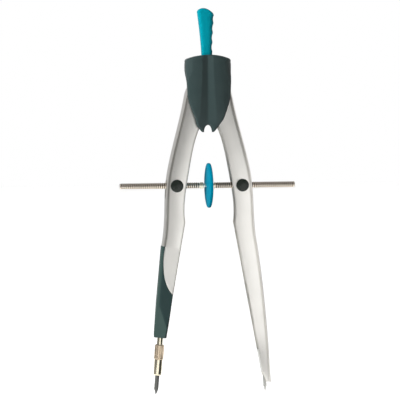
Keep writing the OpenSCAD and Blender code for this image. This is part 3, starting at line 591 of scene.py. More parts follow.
def tongue_edge(grow=0.0):
    """The tongue's curved edge as (x, z) points, from the leg down to its inner side."""
    turn = np.linspace(0, math.acos((LEG_GAP - TONGUE_MID_X) / TONGUE_RX), 48)
    x = TONGUE_MID_X + (TONGUE_RX + grow) * np.cos(turn)
    curve = stacked(x, -TONGUE_START - (TONGUE_RZ + grow) * np.sin(turn))
    return np.vstack([[[x[0], -TONGUE_TOP]], curve])


def tongue_rings(front):
    """Sections of the flat tongue on the front (-1) or the rear (1) of the arm."""
    edge = tongue_edge()
    lean = np.gradient(edge, axis=0)
    inwards = stacked(lean[:, 1], -lean[:, 0])
    inwards /= np.linalg.norm(inwards, axis=1)[:, None]
    face, back = front * LEG_DEPTH / 2, front * (LEG_DEPTH / 2 - LEG_WALL)
    across = np.array([1.0, 0.0])
    rings = []
    for p, n in zip(edge, inwards):
        q = np.array([LEG_GAP, p[1]])
        r = max(min(SHEET_EDGE_R, 0.3 * (p[0] - q[0])), THIN_EDGE_R)
        out, down = quarter(0, 0, r, r, 5), quarter(0, 0, r, r, 5, start_across=False)
        section = [
            *((q + across * (r - a), face - front * b) for a, b in out),
            *((q + across * a, back + front * (r - b)) for a, b in down),
            *((p + n * (r - a), back + front * b) for a, b in out),
            *((p + n * a, face - front * (r - b)) for a, b in down),
            *(((p + n * r) * (1 - t) + (q + across * r) * t, face) for t in (0.03, 0.1, 0.5, 0.9, 0.97)),
        ]
        rings.append([(xz[0], y, xz[1]) for xz, y in section])
    return rings


def left_leg_mesh():
    """The lead's leg, whose channel ends in a tongue on each face of the arm."""
    channel = carved_mesh(leg_mesh(channel_rings(*leg_rails(TONGUE_TOP)), -1), leg_cutters(-1))
    tongue = joined_mesh(*(leg_mesh(tongue_rings(front), -1) for front in (-1, 1)))
    return joined_mesh(paint_crease_and_edge_shade(channel, -1, 1.0), paint_crease_and_edge_shade(tongue, -1, 1.0))


# Lead arm


def arm_sides(height):
    """How far the arm reaches inwards and outwards from the lead, and where its bevel starts."""
    c, s = math.cos(LEAD_TILT), math.sin(LEAD_TILT)
    axis_x, axis_z = TIP_X + height * s, -TIP_DROP + height * c
    slope = (ARM_TOP_X - ARM_FOOT_X) / (TIP_DROP - ARM_FOOT - ARM_DROP)
    toe_start, toe_end = -TONGUE_START - TONGUE_RZ, ARM_FOOT - TIP_DROP
    toe = ARM_TOE * np.clip((toe_start - axis_z) / (toe_start - toe_end), 0, 1)
    inside = (axis_x - LEG_GAP + toe) / c
    outside = (ARM_TOP_X + slope * (axis_z + ARM_DROP) - axis_x) / (c + slope * s)
    bevel = np.minimum(BEVEL_X - BEVEL_RUN * (BEVEL_TOP - height + ARM_FOOT), outside - BEVEL_W)
    return inside, outside, np.maximum(bevel, BEVEL_END)


def arm_ring(height, count=144):
    """Section of the arm across the lead: flat faces, its sides, its bevel and its lower end's cone."""
    inside, outside, bevel_x = arm_sides(height)
    cone = ARM_END_R + (height - ARM_FOOT) * math.tan(ARM_FLARE)
    middle = (outside - inside) / 2
    bevel = ARM_DEPTH / 2 * math.cos(BEVEL) + (bevel_x - middle) * math.sin(BEVEL)
    angle = np.linspace(0, 2 * math.pi, count, endpoint=False)
    ca, sa = np.cos(angle), np.sin(angle)
    near = 1e-3
    reach = [
        (outside - middle) / np.maximum(ca, near),
        (middle + inside) / np.maximum(-ca, near),
        ARM_DEPTH / 2 / np.maximum(np.abs(sa), near),
        bevel / np.maximum(math.sin(BEVEL) * ca + math.cos(BEVEL) * np.abs(sa), near),
        -middle * ca + np.sqrt(cone**2 - (middle * sa) ** 2),
    ]
    radius = sum((r / ARM_DEPTH) ** -ARM_CORNER for r in reach) ** (-1 / ARM_CORNER) * ARM_DEPTH
    return stacked(middle + radius * ca, radius * sa, height)


def paint_bevel_highlight(mesh):
    """Paints a highlight on the arm's bevel as a paler colour."""
    x, y, z = unswung(mesh, -1)
    across, height = rotated(x - TIP_X, z + TIP_DROP, LEAD_TILT)
    return painted_shading_mesh(mesh, np.clip(0.5 + (across - arm_sides(height)[2]) / BEVEL_HIGHLIGHT_FADE, 0, 1))


def arm_mesh():
    """The arm, with pockets for the tongues, a socket for the shank and a core up inside the leg."""
    c, s = math.cos(LEAD_TILT), math.sin(LEAD_TILT)
    heights = np.linspace(ARM_FOOT + ARM_EASE, (TIP_DROP - ARM_DROP) / c - ARM_SLICE, 70)
    rings = [arm_ring(ARM_FOOT) * (ARM_FOOT_SHARE, ARM_FOOT_SHARE, 1), *(arm_ring(h) for h in heights)]
    rings = [tilted(ring, LEAD_TILT) for ring in rings]
    x, y, z = rings[-1].T
    rings.append(stacked(x + (-ARM_DROP - z) / c * s, y, -ARM_DROP))
    cutters = []
    for front in (-1, 1):
        low, high = -TONGUE_TOP - TONGUE_RZ, -TONGUE_TOP + MM
        edge = np.vstack([tongue_edge(RUN_CLEAR), [[-PIVOT_X, low], [-PIVOT_X, high]]])
        edge[0, 1] = high
        depths = (LEG_DEPTH / 2 - LEG_WALL, LEG_DEPTH)
        cutters.append(leg_mesh([stacked(edge[:, 0], front * y, edge[:, 1]) for y in depths], -1))
    socket = bar(SHANK_R + SEAT_CLEAR, ARM_FOOT - MM, SHANK_TOP + SEAT_CLEAR)
    cutters.append(turned_mesh(socket, on_lead, 64))
    half = LEG_DEPTH / 2 - LEG_WALL - SEAT_CLEAR
    core = []
    for drop in np.linspace(CORE_TOP, TONGUE_TOP + 2 * MM, 12):
        outside = min(outer_x(drop), outer_x(TONGUE_TOP)) - LEG_WALL - SEAT_CLEAR
        corners = (LEG_GAP, -half), (outside, -half), (outside, half), (LEG_GAP, half)
        core.append([(x, y, -drop) for x, y in corners])
    return joined_mesh(paint_bevel_highlight(carved_mesh(leg_mesh(rings, -1), cutters)), leg_mesh(core, -1))


# Head


def dome_z(x):
    """Height of the head's top edge over the pivots."""
    corner_x = HEAD_HALF - CORNER_R
    corner_z = HEAD_RISE - DOME_R + math.sqrt((DOME_R - CORNER_R) ** 2 - corner_x**2)
    touch = corner_x * DOME_R / (DOME_R - CORNER_R)
    dome = HEAD_RISE - DOME_R + np.sqrt(DOME_R**2 - np.minimum(np.abs(x), touch) ** 2)
    corner = corner_z + np.sqrt(np.maximum(0, CORNER_R**2 - np.maximum(0, np.abs(x) - corner_x) ** 2))
    return np.where(np.abs(x) < touch, dome, corner)


def head_lower_side(drop, count=200):
    """The lower side of a cover on the right, as (x, z) points from its point up."""
    t = np.linspace(1, 0, count)
    corners = (PLATE_HALF, PLATE_TURN), PLATE_BULGE, (CHIN_X, CHIN_H - drop)
    x, z = (a * (1 - t) ** 2 + 2 * b * t * (1 - t) + c * t * t for a, b, c in zip(*corners))
    return np.concatenate([[POINT_X], x, [HEAD_HALF]]), np.concatenate([[-drop], z, [PLATE_TOP]])


def head_foot_z(x, drop):
    """Height of a cover's lower edge over the pivots."""
    side = np.interp(np.abs(x), *head_lower_side(drop))
    arch = -drop + ARCH_H * np.sqrt(np.maximum(0, 1 - (x / ARCH_HALF) ** 2))
    return np.where(np.abs(x) < ARCH_HALF, arch, side)


def soft_min(a, b, blend):
    share = np.clip(0.5 + 0.5 * (b - a) / blend, 0, 1)
    return b + (a - b) * share - blend * share * (1 - share)


def distance_to(path, x, z):
    """Distance from points to a line of points."""
    p = stacked(x.ravel(), z.ravel())
    best = np.full(len(p), np.inf)
    for start, step in zip(path[:-1], np.diff(path, axis=0)):
        t = np.clip((p - start) @ step / max(step @ step, 1e-18), 0, 1)
        best = np.minimum(best, np.hypot(*(p - start - t[:, None] * step).T))
    return best.reshape(x.shape)


def rounding(distance, radius):
    """How far a rounded edge falls back, at a distance in from the outline."""
    inside = np.maximum(0, radius - distance)
    return radius - np.sqrt(np.maximum(0, radius**2 - inside**2))


def cover_face(x, z):
    """Depth of the cover's outer face: two lobes with a flute between them."""
    down = (HEAD_RISE - z) / (HEAD_RISE + HEAD_DROP)
    half = FLUTE_TOP_HALF + (FLUTE_LOW_HALF - FLUTE_TOP_HALF) * down**1.5
    soft = 0.1
    t = np.abs(x) / half
    valley = (np.sqrt(t**2 + soft**2) - soft) / (math.sqrt(1 + soft**2) - soft)
    flute = FLUTE_Y + (CREST_Y - FLUTE_Y) * valley
    share = np.maximum(0, (np.abs(x) - half) / (HEAD_HALF - half))
    lobe = CREST_Y + (SIDE_Y - CREST_Y) * share**2.2
    full = soft_min(flute, lobe, CREST_SOFT)
    thin = 1 - (1 - TOE_SHARE) * smooth((TOE_START - z) / (HEAD_DROP + TOE_START))
    return COVER_IN + (full - COVER_IN) * thin


def cover_columns():
    """Places across the head, closer where its outline turns."""
    counts, stops = (10, 34, 16, 8, 18, 33), mm(0, 1.3, 3.1, 5.3, 7.0, 9.0, 10.7)
    stretches = [np.linspace(a, b, n, endpoint=False) for a, b, n in zip(stops, stops[1:], counts)]
    turns = [ARCH_HALF, POINT_X, CHIN_X, HEAD_HALF - CHEEK_WALL, PLATE_HALF, HEAD_HALF]
    right = np.sort(np.concatenate([*stretches, turns]))
    return np.concatenate([-right[:0:-1], right])


def drawn_in(x, depth, z, front):
    """Points of a cover: its sides drawn in below the dome, and the front one's toe set to the left."""
    draw = FRONT_DRAW if front < 0 else REAR_DRAW
    side = draw * smooth((DRAW_TOP - z) / DRAW_RUN) * smooth((np.abs(x) - DRAW_X) / DRAW_W)
    seam = smooth((DRAW_TOP - z) / SEAM_RUN) * smooth(1 - depth / COVER_IN) * (np.abs(x) > SEAM_X)
    toe = TOE_SET * smooth((TOE_TOP - z) / TOE_RUN) if front < 0 else 0
    return stacked(x - np.sign(x) * (side + SEAM_DRAW * seam) - toe, front * depth, z + PIVOT_Z)


def cover_mesh(front):
    """The front (-1) or rear (1) cover: a face over the legs, a cap over their tops and closed sides."""
    drop, cheek = (HEAD_DROP, CHEEK_RISE) if front < 0 else (HEAD_DROP - REAR_LIFT, REAR_CHEEK_RISE)
    x = cover_columns()[:, None]
    foot, top = head_foot_z(x, drop), dome_z(x)
    cap = np.where(np.abs(x) > HEAD_HALF - CHEEK_WALL - MERGE, cheek, CAP_RISE)
    low, high = ((1 - np.cos(np.linspace(0, math.pi, n))) / 2 for n in (76, 48))
    z_low, z_high = foot + (cap - foot) * low, cap + (top - cap) * high
    z = np.hstack([z_low, z_high[:, 1:]])
    wide = np.broadcast_to(x, z.shape)
    upper, lower = np.hstack([x, top]), np.hstack([x, foot])
    sides = np.vstack([upper[:1], lower, upper[-1:]])
    edge_r = COVER_EDGE_R + (SIDE_R - COVER_EDGE_R) * smooth((z - SIDE_R_FOOT) / (SIDE_R_TOP - SIDE_R_FOOT))
    depth = cover_face(wide + FLUTE_SET, z) - rounding(distance_to(sides, wide, z), edge_r)
    depth = depth - rounding(distance_to(upper, wide, z), CROWN_R)
    depth = np.maximum(depth, np.where(z > cap + MERGE, THIN_TOP, COVER_IN + THIN_FACE))
    behind = np.hstack([np.full(z_low.shape, COVER_IN), np.full(z_high.shape, SEAM_GAP)])
    outside = drawn_in(wide, depth, z, front)
    inside = drawn_in(np.broadcast_to(x, behind.shape), behind, np.hstack([z_low, z_high]), front)
    mesh = closed_mesh(*lofted([np.vstack([o, i[::-1]]) for o, i in zip(outside, inside)]))
    if front < 0:
        return mesh
    seat = float(cover_face(np.array(SCREW_X + SCREW_HEAD_R), np.array(SCREW_RISE))) - SCREW_SINK
    sink = bar(SCREW_HEAD_R + SEAT_CLEAR, seat, 2 * CREST_Y)
    places = [along_depth(side * SCREW_X, PIVOT_Z + SCREW_RISE) for side in (-1, 1)]
    return carved_mesh(mesh, [turned_mesh(sink, place, 64) for place in places])


# Handle


def handle_section(rise, angle):
    """Outline of the handle at shares of its height, rounded square, with finger grooves on its right."""
    bare = np.maximum(0, rise)
    flare = bare**FLARE_POWER
    power = np.where(np.cos(angle) < 0, SQUARE_CORNER, ROUND_CORNER)
    across, deep = (np.sign(v) * np.abs(v) ** power / 2 for v in (np.cos(angle), np.sin(angle)))
    crest = (0.5 + 0.5 * np.cos(2 * math.pi * RIDGES * (bare - RIDGE_START))) ** RIDGE_POWER
    fade = np.minimum(1, bare / RIDGE_START) * smooth((GROOVES_END - bare) / RIDGE_START)
    groove = GROOVE_DEPTH * (1 - crest) * fade * np.maximum(0, np.cos(angle)) ** 0.7
    x = (NECK_W + (TOP_W - NECK_W) * flare) * across - HANDLE_SET - HANDLE_LEAN * bare - groove
    return stacked(x, (NECK_D + (TOP_D - NECK_D) * flare) * deep)


def crown_z(x, y):
    """Height of the handle's arched top, which falls to the right."""
    across = (x + HANDLE_SET + HANDLE_LEAN) / (TOP_W / 2) - CROWN_PEAK
    fall = np.where(across > 0, CROWN_RIGHT, CROWN_LEFT) * across**2 + CROWN_ROUND * (y / (TOP_D / 2)) ** 2
    return HANDLE_BARE + HANDLE_H - CROWN_SINK - fall


def handle_mesh(count=112):
    angle = np.linspace(0, 2 * math.pi, count, endpoint=False)
    rim_z = crown_z(*handle_section(np.full(count, RIM_SHARE), angle).T) - CROWN_EDGE_R
    rings = []
    for share in np.linspace(0, 1, 150):
        z = HANDLE_FOOT + share * (rim_z - HANDLE_FOOT)
        rings.append(np.column_stack([handle_section((z - HANDLE_BARE) / HANDLE_H, angle), z]))
    top, middle = rings[-1][:, :2], np.array([-HANDLE_SET - HANDLE_LEAN, 0])
    size = np.linalg.norm(top - middle, axis=1)[:, None]
    for turn in np.linspace(0, math.pi / 2, 8)[1:]:
        inset = middle + (top - middle) * (1 - CROWN_EDGE_R * (1 - math.cos(turn)) / size)
        rings.append(np.column_stack([inset, rim_z + (crown_z(*inset.T) - rim_z) * math.sin(turn)]))
    inner = rings[-1][:, :2]
    for shrink in (0.85, 0.7, 0.5, 0.3, 0.12):
        ring = middle + (inner - middle) * shrink
        rings.append(np.column_stack([ring, crown_z(*ring.T)]))
    return closed_mesh(*lofted([ring + (0, 0, PIVOT_Z) for ring in rings]))


# Turned pieces


def rounded_profile(points, radius, steps=4):
    """A profile with its inner corners eased."""
    points = np.asarray(points, float)
    eased = [points[0]]
    for a, b, c in zip(points, points[1:], points[2:]):
        back, on = a - b, c - b
        cut = min(radius, 0.45 * np.linalg.norm(back), 0.45 * np.linalg.norm(on))
        back, on = back / np.linalg.norm(back), on / np.linalg.norm(on)
        p, q = b + back * cut, b + on * cut
        eased.append(p + back * 0.05 * cut)
        eased += [p * (1 - t) ** 2 + 2 * b * t * (1 - t) + q * t * t for t in np.linspace(0, 1, steps)]
        eased.append(q + on * 0.05 * cut)
    return [*eased, points[-1]]


def closed_profile(points, radius=0.1 * MM):
    """A bored piece's profile, joined up and eased at every corner but the first."""
    return rounded_profile([*points, points[0]], radius)


def wheel_profile():
    body_r = WHEEL_R - RIB_OUT
    bore = NECK_R + SEAT_CLEAR
    radii = body_r * np.sin(np.linspace(math.asin(bore / body_r), math.pi / 2, 40))
    lens = np.sqrt(np.maximum(0, 1 - (radii / body_r) ** 2))
    right = stacked(radii, (WHEEL_RIM_T + (WHEEL_HUB_T - WHEEL_RIM_T) * lens) / 2)
    return np.vstack([right, right[::-1] * (1, -1), right[:1]])


def button_profile():
    """A trunnion's button, slightly domed, from its middle out to its flat underside."""
    out = np.linspace(0, 1, 10)
    turn = np.linspace(math.pi / 2, 0, 9)[1:]
    face_r = BUTTON_R - BUTTON_EDGE_R
    face = stacked(face_r * out, BUTTON_T + BUTTON_DOME * (1 - out**2))
    edge = stacked(face_r + BUTTON_EDGE_R * np.cos(turn), BUTTON_T - BUTTON_EDGE_R * (1 - np.sin(turn)))
    return [*face, *edge, (BUTTON_R, BUTTON_EASE), (BUTTON_R - BUTTON_EASE, 0)]


def trunnion_mesh(side, rear):
    """The front button with its barrel, or the rear cap."""
    profile = [(r, BUTTON_Y + h) for r, h in button_profile()]
    if rear:
        profile += [(BARREL_R - CAP_STEP, BUTTON_Y), (0, BUTTON_Y)]
    else:
        profile += [(BARREL_R, BUTTON_Y), (BARREL_R, -BUTTON_Y), (0, -BUTTON_Y)]
    x, far = side * TRUNNION_REST_X, 8 * MM
    mesh = turned_mesh(profile, along_depth(x, SCREW_Z, 1 if rear else -1), 80)
    if rear:
        return mesh
    return carved_mesh(mesh, [turned_mesh(bar(SCREW_R + RUN_CLEAR, x - far, x + far), on_screw, 48)])


# Finishes


def new_finish(name, own):
    """A finish's node group, with the inputs and outputs that finishes share."""
    grey = ("Color", (0.5, 0.5, 0.5, 1))
    inputs = own | {label: grey for label in ("Colour", "Worn colour", "Shading colour")}
    inputs |= {label: ("Float", 0.0) for label in ("Tone", "Smooth", "Rough", "Mark")}
    outputs = {"Colour": ("Color", None), "Roughness": ("Float", None), "Height": ("Float", None)}
    return new_tree(name, "ShaderNodeTree", inputs, outputs)


def end_finish(g, given, result, worn, rubbed, height):
    """Ends a finish: a colour that varies with wear and with painted shade or highlight where the shading
    mark lies, a roughness that varies with rubbing.
    """
    clean = g.mix(g.calc("MULTIPLY", given["Tone"], worn), given["Colour"], given["Worn colour"])
    g.put(result["Colour"], g.mix(given["Mark"], clean, given["Shading colour"]))
    span = g.calc("SUBTRACT", given["Rough"], given["Smooth"])
    g.put(result["Roughness"], g.calc("MULTIPLY_ADD", span, rubbed, given["Smooth"]))
    g.put(result["Height"], height)
    return g.tree


def moulded_skin_group():
    """Moulded plastic: a fine spark texture, cloudy tone and a rubbed look that varies."""
    g, given, result = new_finish("moulded_skin", {"Grain size": ("Float", 0.3 * MM)})
    place = g.add("ShaderNodeTexCoord", out=3)
    fine = g.calc("DIVIDE", 1.0, given["Grain size"])
    spark = g.noise(place, fine, 3.0, 0.6)
    cloud = g.noise(place, 160.0, 4.0, 0.55)
    speck = g.add("ShaderNodeTexVoronoi", {"Vector": place, "Scale": g.calc("MULTIPLY", fine, 0.55)})
    rubbed = g.weigh(g.ramp(cloud, 0.35, 0.7), g.ramp(spark, 0.3, 0.7), 0.7)
    height = g.weigh(spark, g.ramp(speck, 0.0, 0.5), 0.7)
    return end_finish(g, given, result, g.ramp(cloud, 0.3, 0.7, smooth=True), rubbed, height)


def drawn_grain_group():
    """Metal with a grain drawn along one direction, faint blotches and fine scratches."""
    own = {"Vector": ("Vector", None), "Across": ("Float", 9000.0), "Along": ("Float", 120.0)}
    g, given, result = new_finish("drawn_grain", own)
    stretch = g.add("ShaderNodeCombineXYZ", {0: given["Across"], 1: given["Across"], 2: given["Along"]})
    drawn = g.add("ShaderNodeVectorMath", {0: given["Vector"], 1: stretch}, operation="MULTIPLY")
    grain = g.noise(drawn, 1.0, 2.0, 0.5)
    blotch = g.noise(given["Vector"], 90.0, 3.0, 0.5)
    dull = g.weigh(g.ramp(grain, 0.3, 0.7), g.ramp(blotch, 0.3, 0.7), 0.5)
    return end_finish(g, given, result, dull, dull, grain)


def new_material(name, **shader):
    """A material with plain values set on its shader, its graph, and the shader's inputs."""
    material = bpy.data.materials.new(name)
    material.use_nodes = True
    inputs = material.node_tree.nodes["Principled BSDF"].inputs
    for key, value in shader.items():
        inputs[key.replace("_", " ").title().replace("Ior", "IOR")].default_value = value
    return material, Graph(material.node_tree), inputs


def finish_material(name, group, colour, worn, roughness, own, bump, shading_marked=None, turn=None, **shader):
    """A material whose colour, roughness and bump come from a group, with plain values on its shader."""
    material, g, inputs = new_material(name, **shader)
    skin = g.tree.nodes.new("ShaderNodeGroup")
    skin.node_tree = group
    values = own | {"Colour": srgb(*colour), "Worn colour": srgb(*worn)}
    values["Smooth"], values["Rough"] = roughness
    # A shading colour paints shade or a highlight where the mesh's mark lies.
    if shading_marked:
        values["Shading colour"] = srgb(*shading_marked)
        values["Mark"] = g.add("ShaderNodeAttribute", out=2, attribute_name="mark")
    if turn is not None:
        place = g.add("ShaderNodeTexCoord", out=3)
        values["Vector"] = g.add("ShaderNodeMapping", {"Vector": place, "Rotation": (0.0, turn, 0.0)})
    for key, value in values.items():
        g.put(skin.inputs[key], value)
    relief = {"Strength": bump[0], "Distance": bump[1], "Height": skin.outputs["Height"]}
    g.put(inputs["Base Color"], skin.outputs["Colour"])
    g.put(inputs["Roughness"], skin.outputs["Roughness"])
    g.put(inputs["Normal"], g.add("ShaderNodeBump", relief))
    return material


MOULDED, DRAWN = moulded_skin_group(), drawn_grain_group()
ALONG_SCREW = math.pi / 2


def leg_nickel(name, turn, shading_marked):
    own = {"Across": 7000.0, "Along": 160.0, "Tone": 0.3}
    colours = (246, 244, 239), (226, 223, 216)
    bump = 0.08, 0.02 * MM
    return finish_material(name, DRAWN, *colours, (0.27, 0.33), own, bump, shading_marked, turn, metallic=1.0)


def bright_metal(name, colour, dull, roughness, turn=0.0, shading_marked=None):
    own = {"Across": 9000.0, "Along": 500.0, "Tone": 0.35}
    bump = 0.1, 0.01 * MM
    return finish_material(name, DRAWN, colour, dull, roughness, own, bump, shading_marked, turn, metallic=1.0)


def moulded(name, colour, worn, roughness, gloss, bump=0.25, tone=0.25, grain=0.22 * MM, shading_marked=None):
    own = {"Grain size": grain, "Tone": tone}
    bump = bump, 0.03 * MM
    return finish_material(
        name, MOULDED, colour, worn, roughness, own, bump, shading_marked, specular_ior_level=gloss
    )


HEAD_PLASTIC = moulded("head_plastic", (45, 59, 59), (56, 68, 67), (0.36, 0.5), 0.25)
# The arm's shading colour is a painted highlight on its bevel.
ARM_PLASTIC = moulded("arm_plastic", (40, 57, 57), (49, 66, 65), (0.4, 0.52), 0.15, shading_marked=(54, 71, 68))
HANDLE_TEAL = moulded("handle_teal", (0, 132, 147), (0, 138, 154), (0.4, 0.5), 0.05, bump=0.12, tone=0.3)
WHEEL_TEAL = moulded("wheel_teal", (0, 118, 145), (0, 124, 152), (0.45, 0.55), 0.01, bump=0.1, tone=0.3)
BUTTON_PLASTIC = moulded("button_plastic", (24, 31, 26), (34, 41, 35), (0.22, 0.32), 0.4, bump=0.1)
GEAR_RESIN = moulded("gear_resin", (214, 209, 190), (226, 222, 206), (0.4, 0.5), 0.5, bump=0.1)
GRAPHITE = moulded("graphite", (72, 73, 70), (98, 99, 95), (0.34, 0.5), 0.9, 0.2, 0.6, grain=0.12 * MM)
# Each leg's shading colour is painted shade in its crease and along its cut edge, darker on the left leg
# than on the right.
LEFT_NICKEL = leg_nickel("left_leg_nickel", -OPEN_ANGLE, (165, 162, 156))
RIGHT_NICKEL = leg_nickel("right_leg_nickel", OPEN_ANGLE, (220, 217, 210))
# The screw's shading colour is painted shade in its thread's grooves.
SCREW_NICKEL = bright_metal(
    "screw_nickel", (246, 237, 224), (224, 212, 197), (0.16, 0.26), ALONG_SCREW, shading_marked=(112, 99, 85)
)
COLLAR_NICKEL = bright_metal("collar_nickel", (240, 236, 214), (226, 220, 196), (0.26, 0.36), ALONG_SCREW)
HOLDER_NICKEL = bright_metal("holder_nickel", (244, 236, 212), (220, 210, 182), (0.08, 0.15))
# The knurl's shading colour is painted shade in its grooves.
KNURL_NICKEL = bright_metal(
    "knurl_nickel", (242, 224, 198), (226, 206, 180), (0.24, 0.32), shading_marked=(196, 174, 148)
)
PIN_STEEL = bright_metal("pin_steel", (196, 196, 192), (160, 160, 156), (0.2, 0.34))

for material, nodes in (
    (PIN_STEEL, ("cover_screws", "left_pivot_pin", "right_pivot_pin", "needle_holder")),
    (PIN_STEEL, ("left_gear_rivet", "right_gear_rivet")),
    (GEAR_RESIN, ("pivot_washers", "left_gear_sector", "right_gear_sector")),
    (HOLDER_NICKEL, ("lead_collet",)),
):
    for node in nodes:
        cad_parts[node].data.materials.clear()
        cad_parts[node].data.materials.append(material)

# Pieces

finish_piece("front_cover", cover_mesh(-1), HEAD_PLASTIC, "head", "head_shell", "head_front_cover")
finish_piece("rear_cover", cover_mesh(1), HEAD_PLASTIC, "head", "head_shell", "head_rear_cover")
finish_piece("ridged_handle", handle_mesh(), HANDLE_TEAL, "head", "teal_grip", "handle")
finish_piece("needle_leg", right_leg_mesh(), RIGHT_NICKEL, "right_leg", "leg_nickel", "right_leg")
finish_piece("lead_leg", left_leg_mesh(), LEFT_NICKEL, "left_leg", "leg_nickel", "left_leg")
finish_piece("moulded_arm", arm_mesh(), ARM_PLASTIC, "left_leg", "head_shell", "lead_arm")

for side, word in ((-1, "left"), (1, "right")):
    body = word + "_trunnion"
    for rear, end, node in ((False, "_button", body), (True, "_rear_button", body + "_cap")):
        button = trunnion_mesh(side, rear)
        finish_piece(word + end, button, BUTTON_PLASTIC, body, "trunnion_black", node)

RELIEF = helix_relief_tree()
thread = dict(
    radius=SCREW_R, depth=THREAD_DEPTH, pitch=THREAD_PITCH, lip=0.3 * MM, edge=0.5 * MM,
    bore=0.0, starts=-1, rows=520, columns=33, material=SCREW_NICKEL,
)
screw = joined_mesh(
    placed_mesh(
        grown(RELIEF, length=SCREW_RIGHT - THREAD_RIGHT, **thread),
        lambda p: p + (THREAD_RIGHT, 0, SCREW_Z),
    ),
    turned_mesh(bar(NECK_R, -THREAD_START, THREAD_START), on_screw, 48),
    placed_mesh(
        grown(RELIEF, length=SCREW_LEFT - THREAD_START, **thread),
        lambda p: p * (-1, 1, 1) + (-THREAD_START, 0, SCREW_Z),
    ),
)
finish_piece("cross_screw", screw, SCREW_NICKEL, "spindle", "screw_nickel", "spindle")

ribs = grown(
    rim_ribs_tree(), count=RIB_COUNT, ring_radius=WHEEL_R - RIB_R, rib_radius=RIB_R,
    length=WHEEL_RIM_T, material=WHEEL_TEAL,
)
wheel = joined_mesh(turned_mesh(wheel_profile(), on_screw, 176), placed_mesh(ribs, on_screw))
finish_piece("ribbed_wheel", wheel, WHEEL_TEAL, "spindle", "teal_grip", "thumb_wheel")

collars = []
for start, end in ((-COLLAR_OUT, -COLLAR_IN), (COLLAR_IN, COLLAR_IN + THIN_COLLAR)):
    ring = closed_profile(bar(COLLAR_R, start, end, NECK_R + RUN_CLEAR), 0.06 * MM)
    collars.append(turned_mesh(ring, on_screw, 64))
collars = joined_mesh(*collars)
finish_piece("wheel_collars", collars, COLLAR_NICKEL, "spindle_collars", "screw_nickel", "spindle_collars")

tube = bar(SHANK_R, SHANK_FOOT, SHANK_TOP, LEAD_R + RUN_CLEAR)
shank = turned_mesh([*tube, tube[0]], on_lead)
finish_piece("holder_shank", shank, HOLDER_NICKEL, "left_leg", "screw_nickel", "lead_shank")

sleeve = [
    (NOSE_BORE, NOSE), (SLEEVE_R - NOSE_CHAMFER, NOSE), (SLEEVE_R, NOSE + 2 * NOSE_CHAMFER),
    (SLEEVE_R, SLEEVE_TOP), (SPIGOT_R, SLEEVE_TOP), (SPIGOT_R, SLEEVE_TOP + SPIGOT_LEN),
    (SLEEVE_BORE, SLEEVE_TOP + SPIGOT_LEN), (SLEEVE_BORE, NOSE + NOSE_WALL), (NOSE_BORE, NOSE + NOSE_WALL),
]
nose = turned_mesh(closed_profile(sleeve), on_lead)
finish_piece("chuck_nose", nose, HOLDER_NICKEL, "chuck_sleeve", "holder_nickel", "chuck_sleeve")

KNURL_FOOT = SLEEVE_TOP + RUN_CLEAR
knurl = grown(
    RELIEF, length=COLLAR_TOP - KNURL_FOOT, radius=KNURL_R, depth=KNURL_DEPTH, pitch=KNURL_PITCH,
    lip=0.3 * MM, edge=0.35 * MM, bore=SPIGOT_R + RUN_CLEAR, starts=KNURL_STARTS,
    rows=60, columns=273, material=KNURL_NICKEL,
)
knurl = placed_mesh(knurl, lambda p: on_lead(stacked(p[:, 1], p[:, 2], p[:, 0] + KNURL_FOOT)))
finish_piece("knurled_collar", knurl, KNURL_NICKEL, "chuck_collar", "holder_nickel", "chuck_collar")

stick = [(0, 0), (BLUNT_R, BLUNT_H), (LEAD_R, LEAD_CONE), (LEAD_R, LEAD_LEN), (0, LEAD_LEN)]
stick = turned_mesh(rounded_profile(stick, 0.15 * MM), on_lead)
finish_piece("drawing_lead", stick, GRAPHITE, "lead", "graphite", "lead")

point = [
    (0, 0), (POINT_R, TIP_LEN), (POINT_R, POINT_LEN),
    (NEEDLE_R, POINT_LEN + STEP_H), (NEEDLE_R, NEEDLE_TOP), (0, NEEDLE_TOP),
]
point = turned_mesh(rounded_profile(point, 0.1 * MM), on_needle, 64)
finish_piece("needle_point", point, PIN_STEEL, "right_leg", "pin_steel", "needle")

# Stage


def stage_plane(name, width, height, place, turn, material):
    mesh = bpy.data.meshes.new(name)
    x, y = width / 2, height / 2
    mesh.from_pydata([(-x, -y, 0), (x, -y, 0), (x, y, 0), (-x, y, 0)], [], [(0, 1, 2, 3)])
    mesh.materials.append(material)
    obj = linked(name, mesh)
    obj.location, obj.rotation_euler = place, turn
    return obj


def reflected_card(name, turn, tone, width, height, place):
    """A card of a plain brightness beside the object, that only shows in its reflections."""
    material = new_material(
        name, base_color=(0, 0, 0, 1), specular_ior_level=0.0,
        emission_color=(1, 1, 1, 1), emission_strength=tone,
    )[0]
    card = stage_plane(name, width, height, place, turn, material)
    card.visible_camera = card.visible_diffuse = card.visible_shadow = False


def ray_kinds(g):
    """1 for what the eye sees directly, and 1 for what it sees in a reflection or through glass."""
    path = g.tree.nodes.new("ShaderNodeLightPath").outputs
    return path["Is Camera Ray"], g.calc("MAXIMUM", path["Is Glossy Ray"], path["Is Transmission Ray"])


def pale_floor(near, far, mirrored):
    """A matt white floor that looks as white as the background, apart from the shadow on it."""
    material, g, inputs = new_material(
        "pale_floor", base_color=(0.9, 0.9, 0.89, 1), roughness=0.8, specular_ior_level=0.1,
        emission_color=(1, 1, 1, 1),
    )
    seen, reflected = ray_kinds(g)
    away = g.add("ShaderNodeVectorMath", {0: g.add("ShaderNodeTexCoord", out=3)}, out=1, operation="LENGTH")
    glow = g.calc("MULTIPLY", seen, g.ramp(away, 0.25, 1.0, near, far, smooth=True))
    g.put(inputs["Emission Strength"], g.calc("MULTIPLY_ADD", reflected, mirrored, glow))
    return material


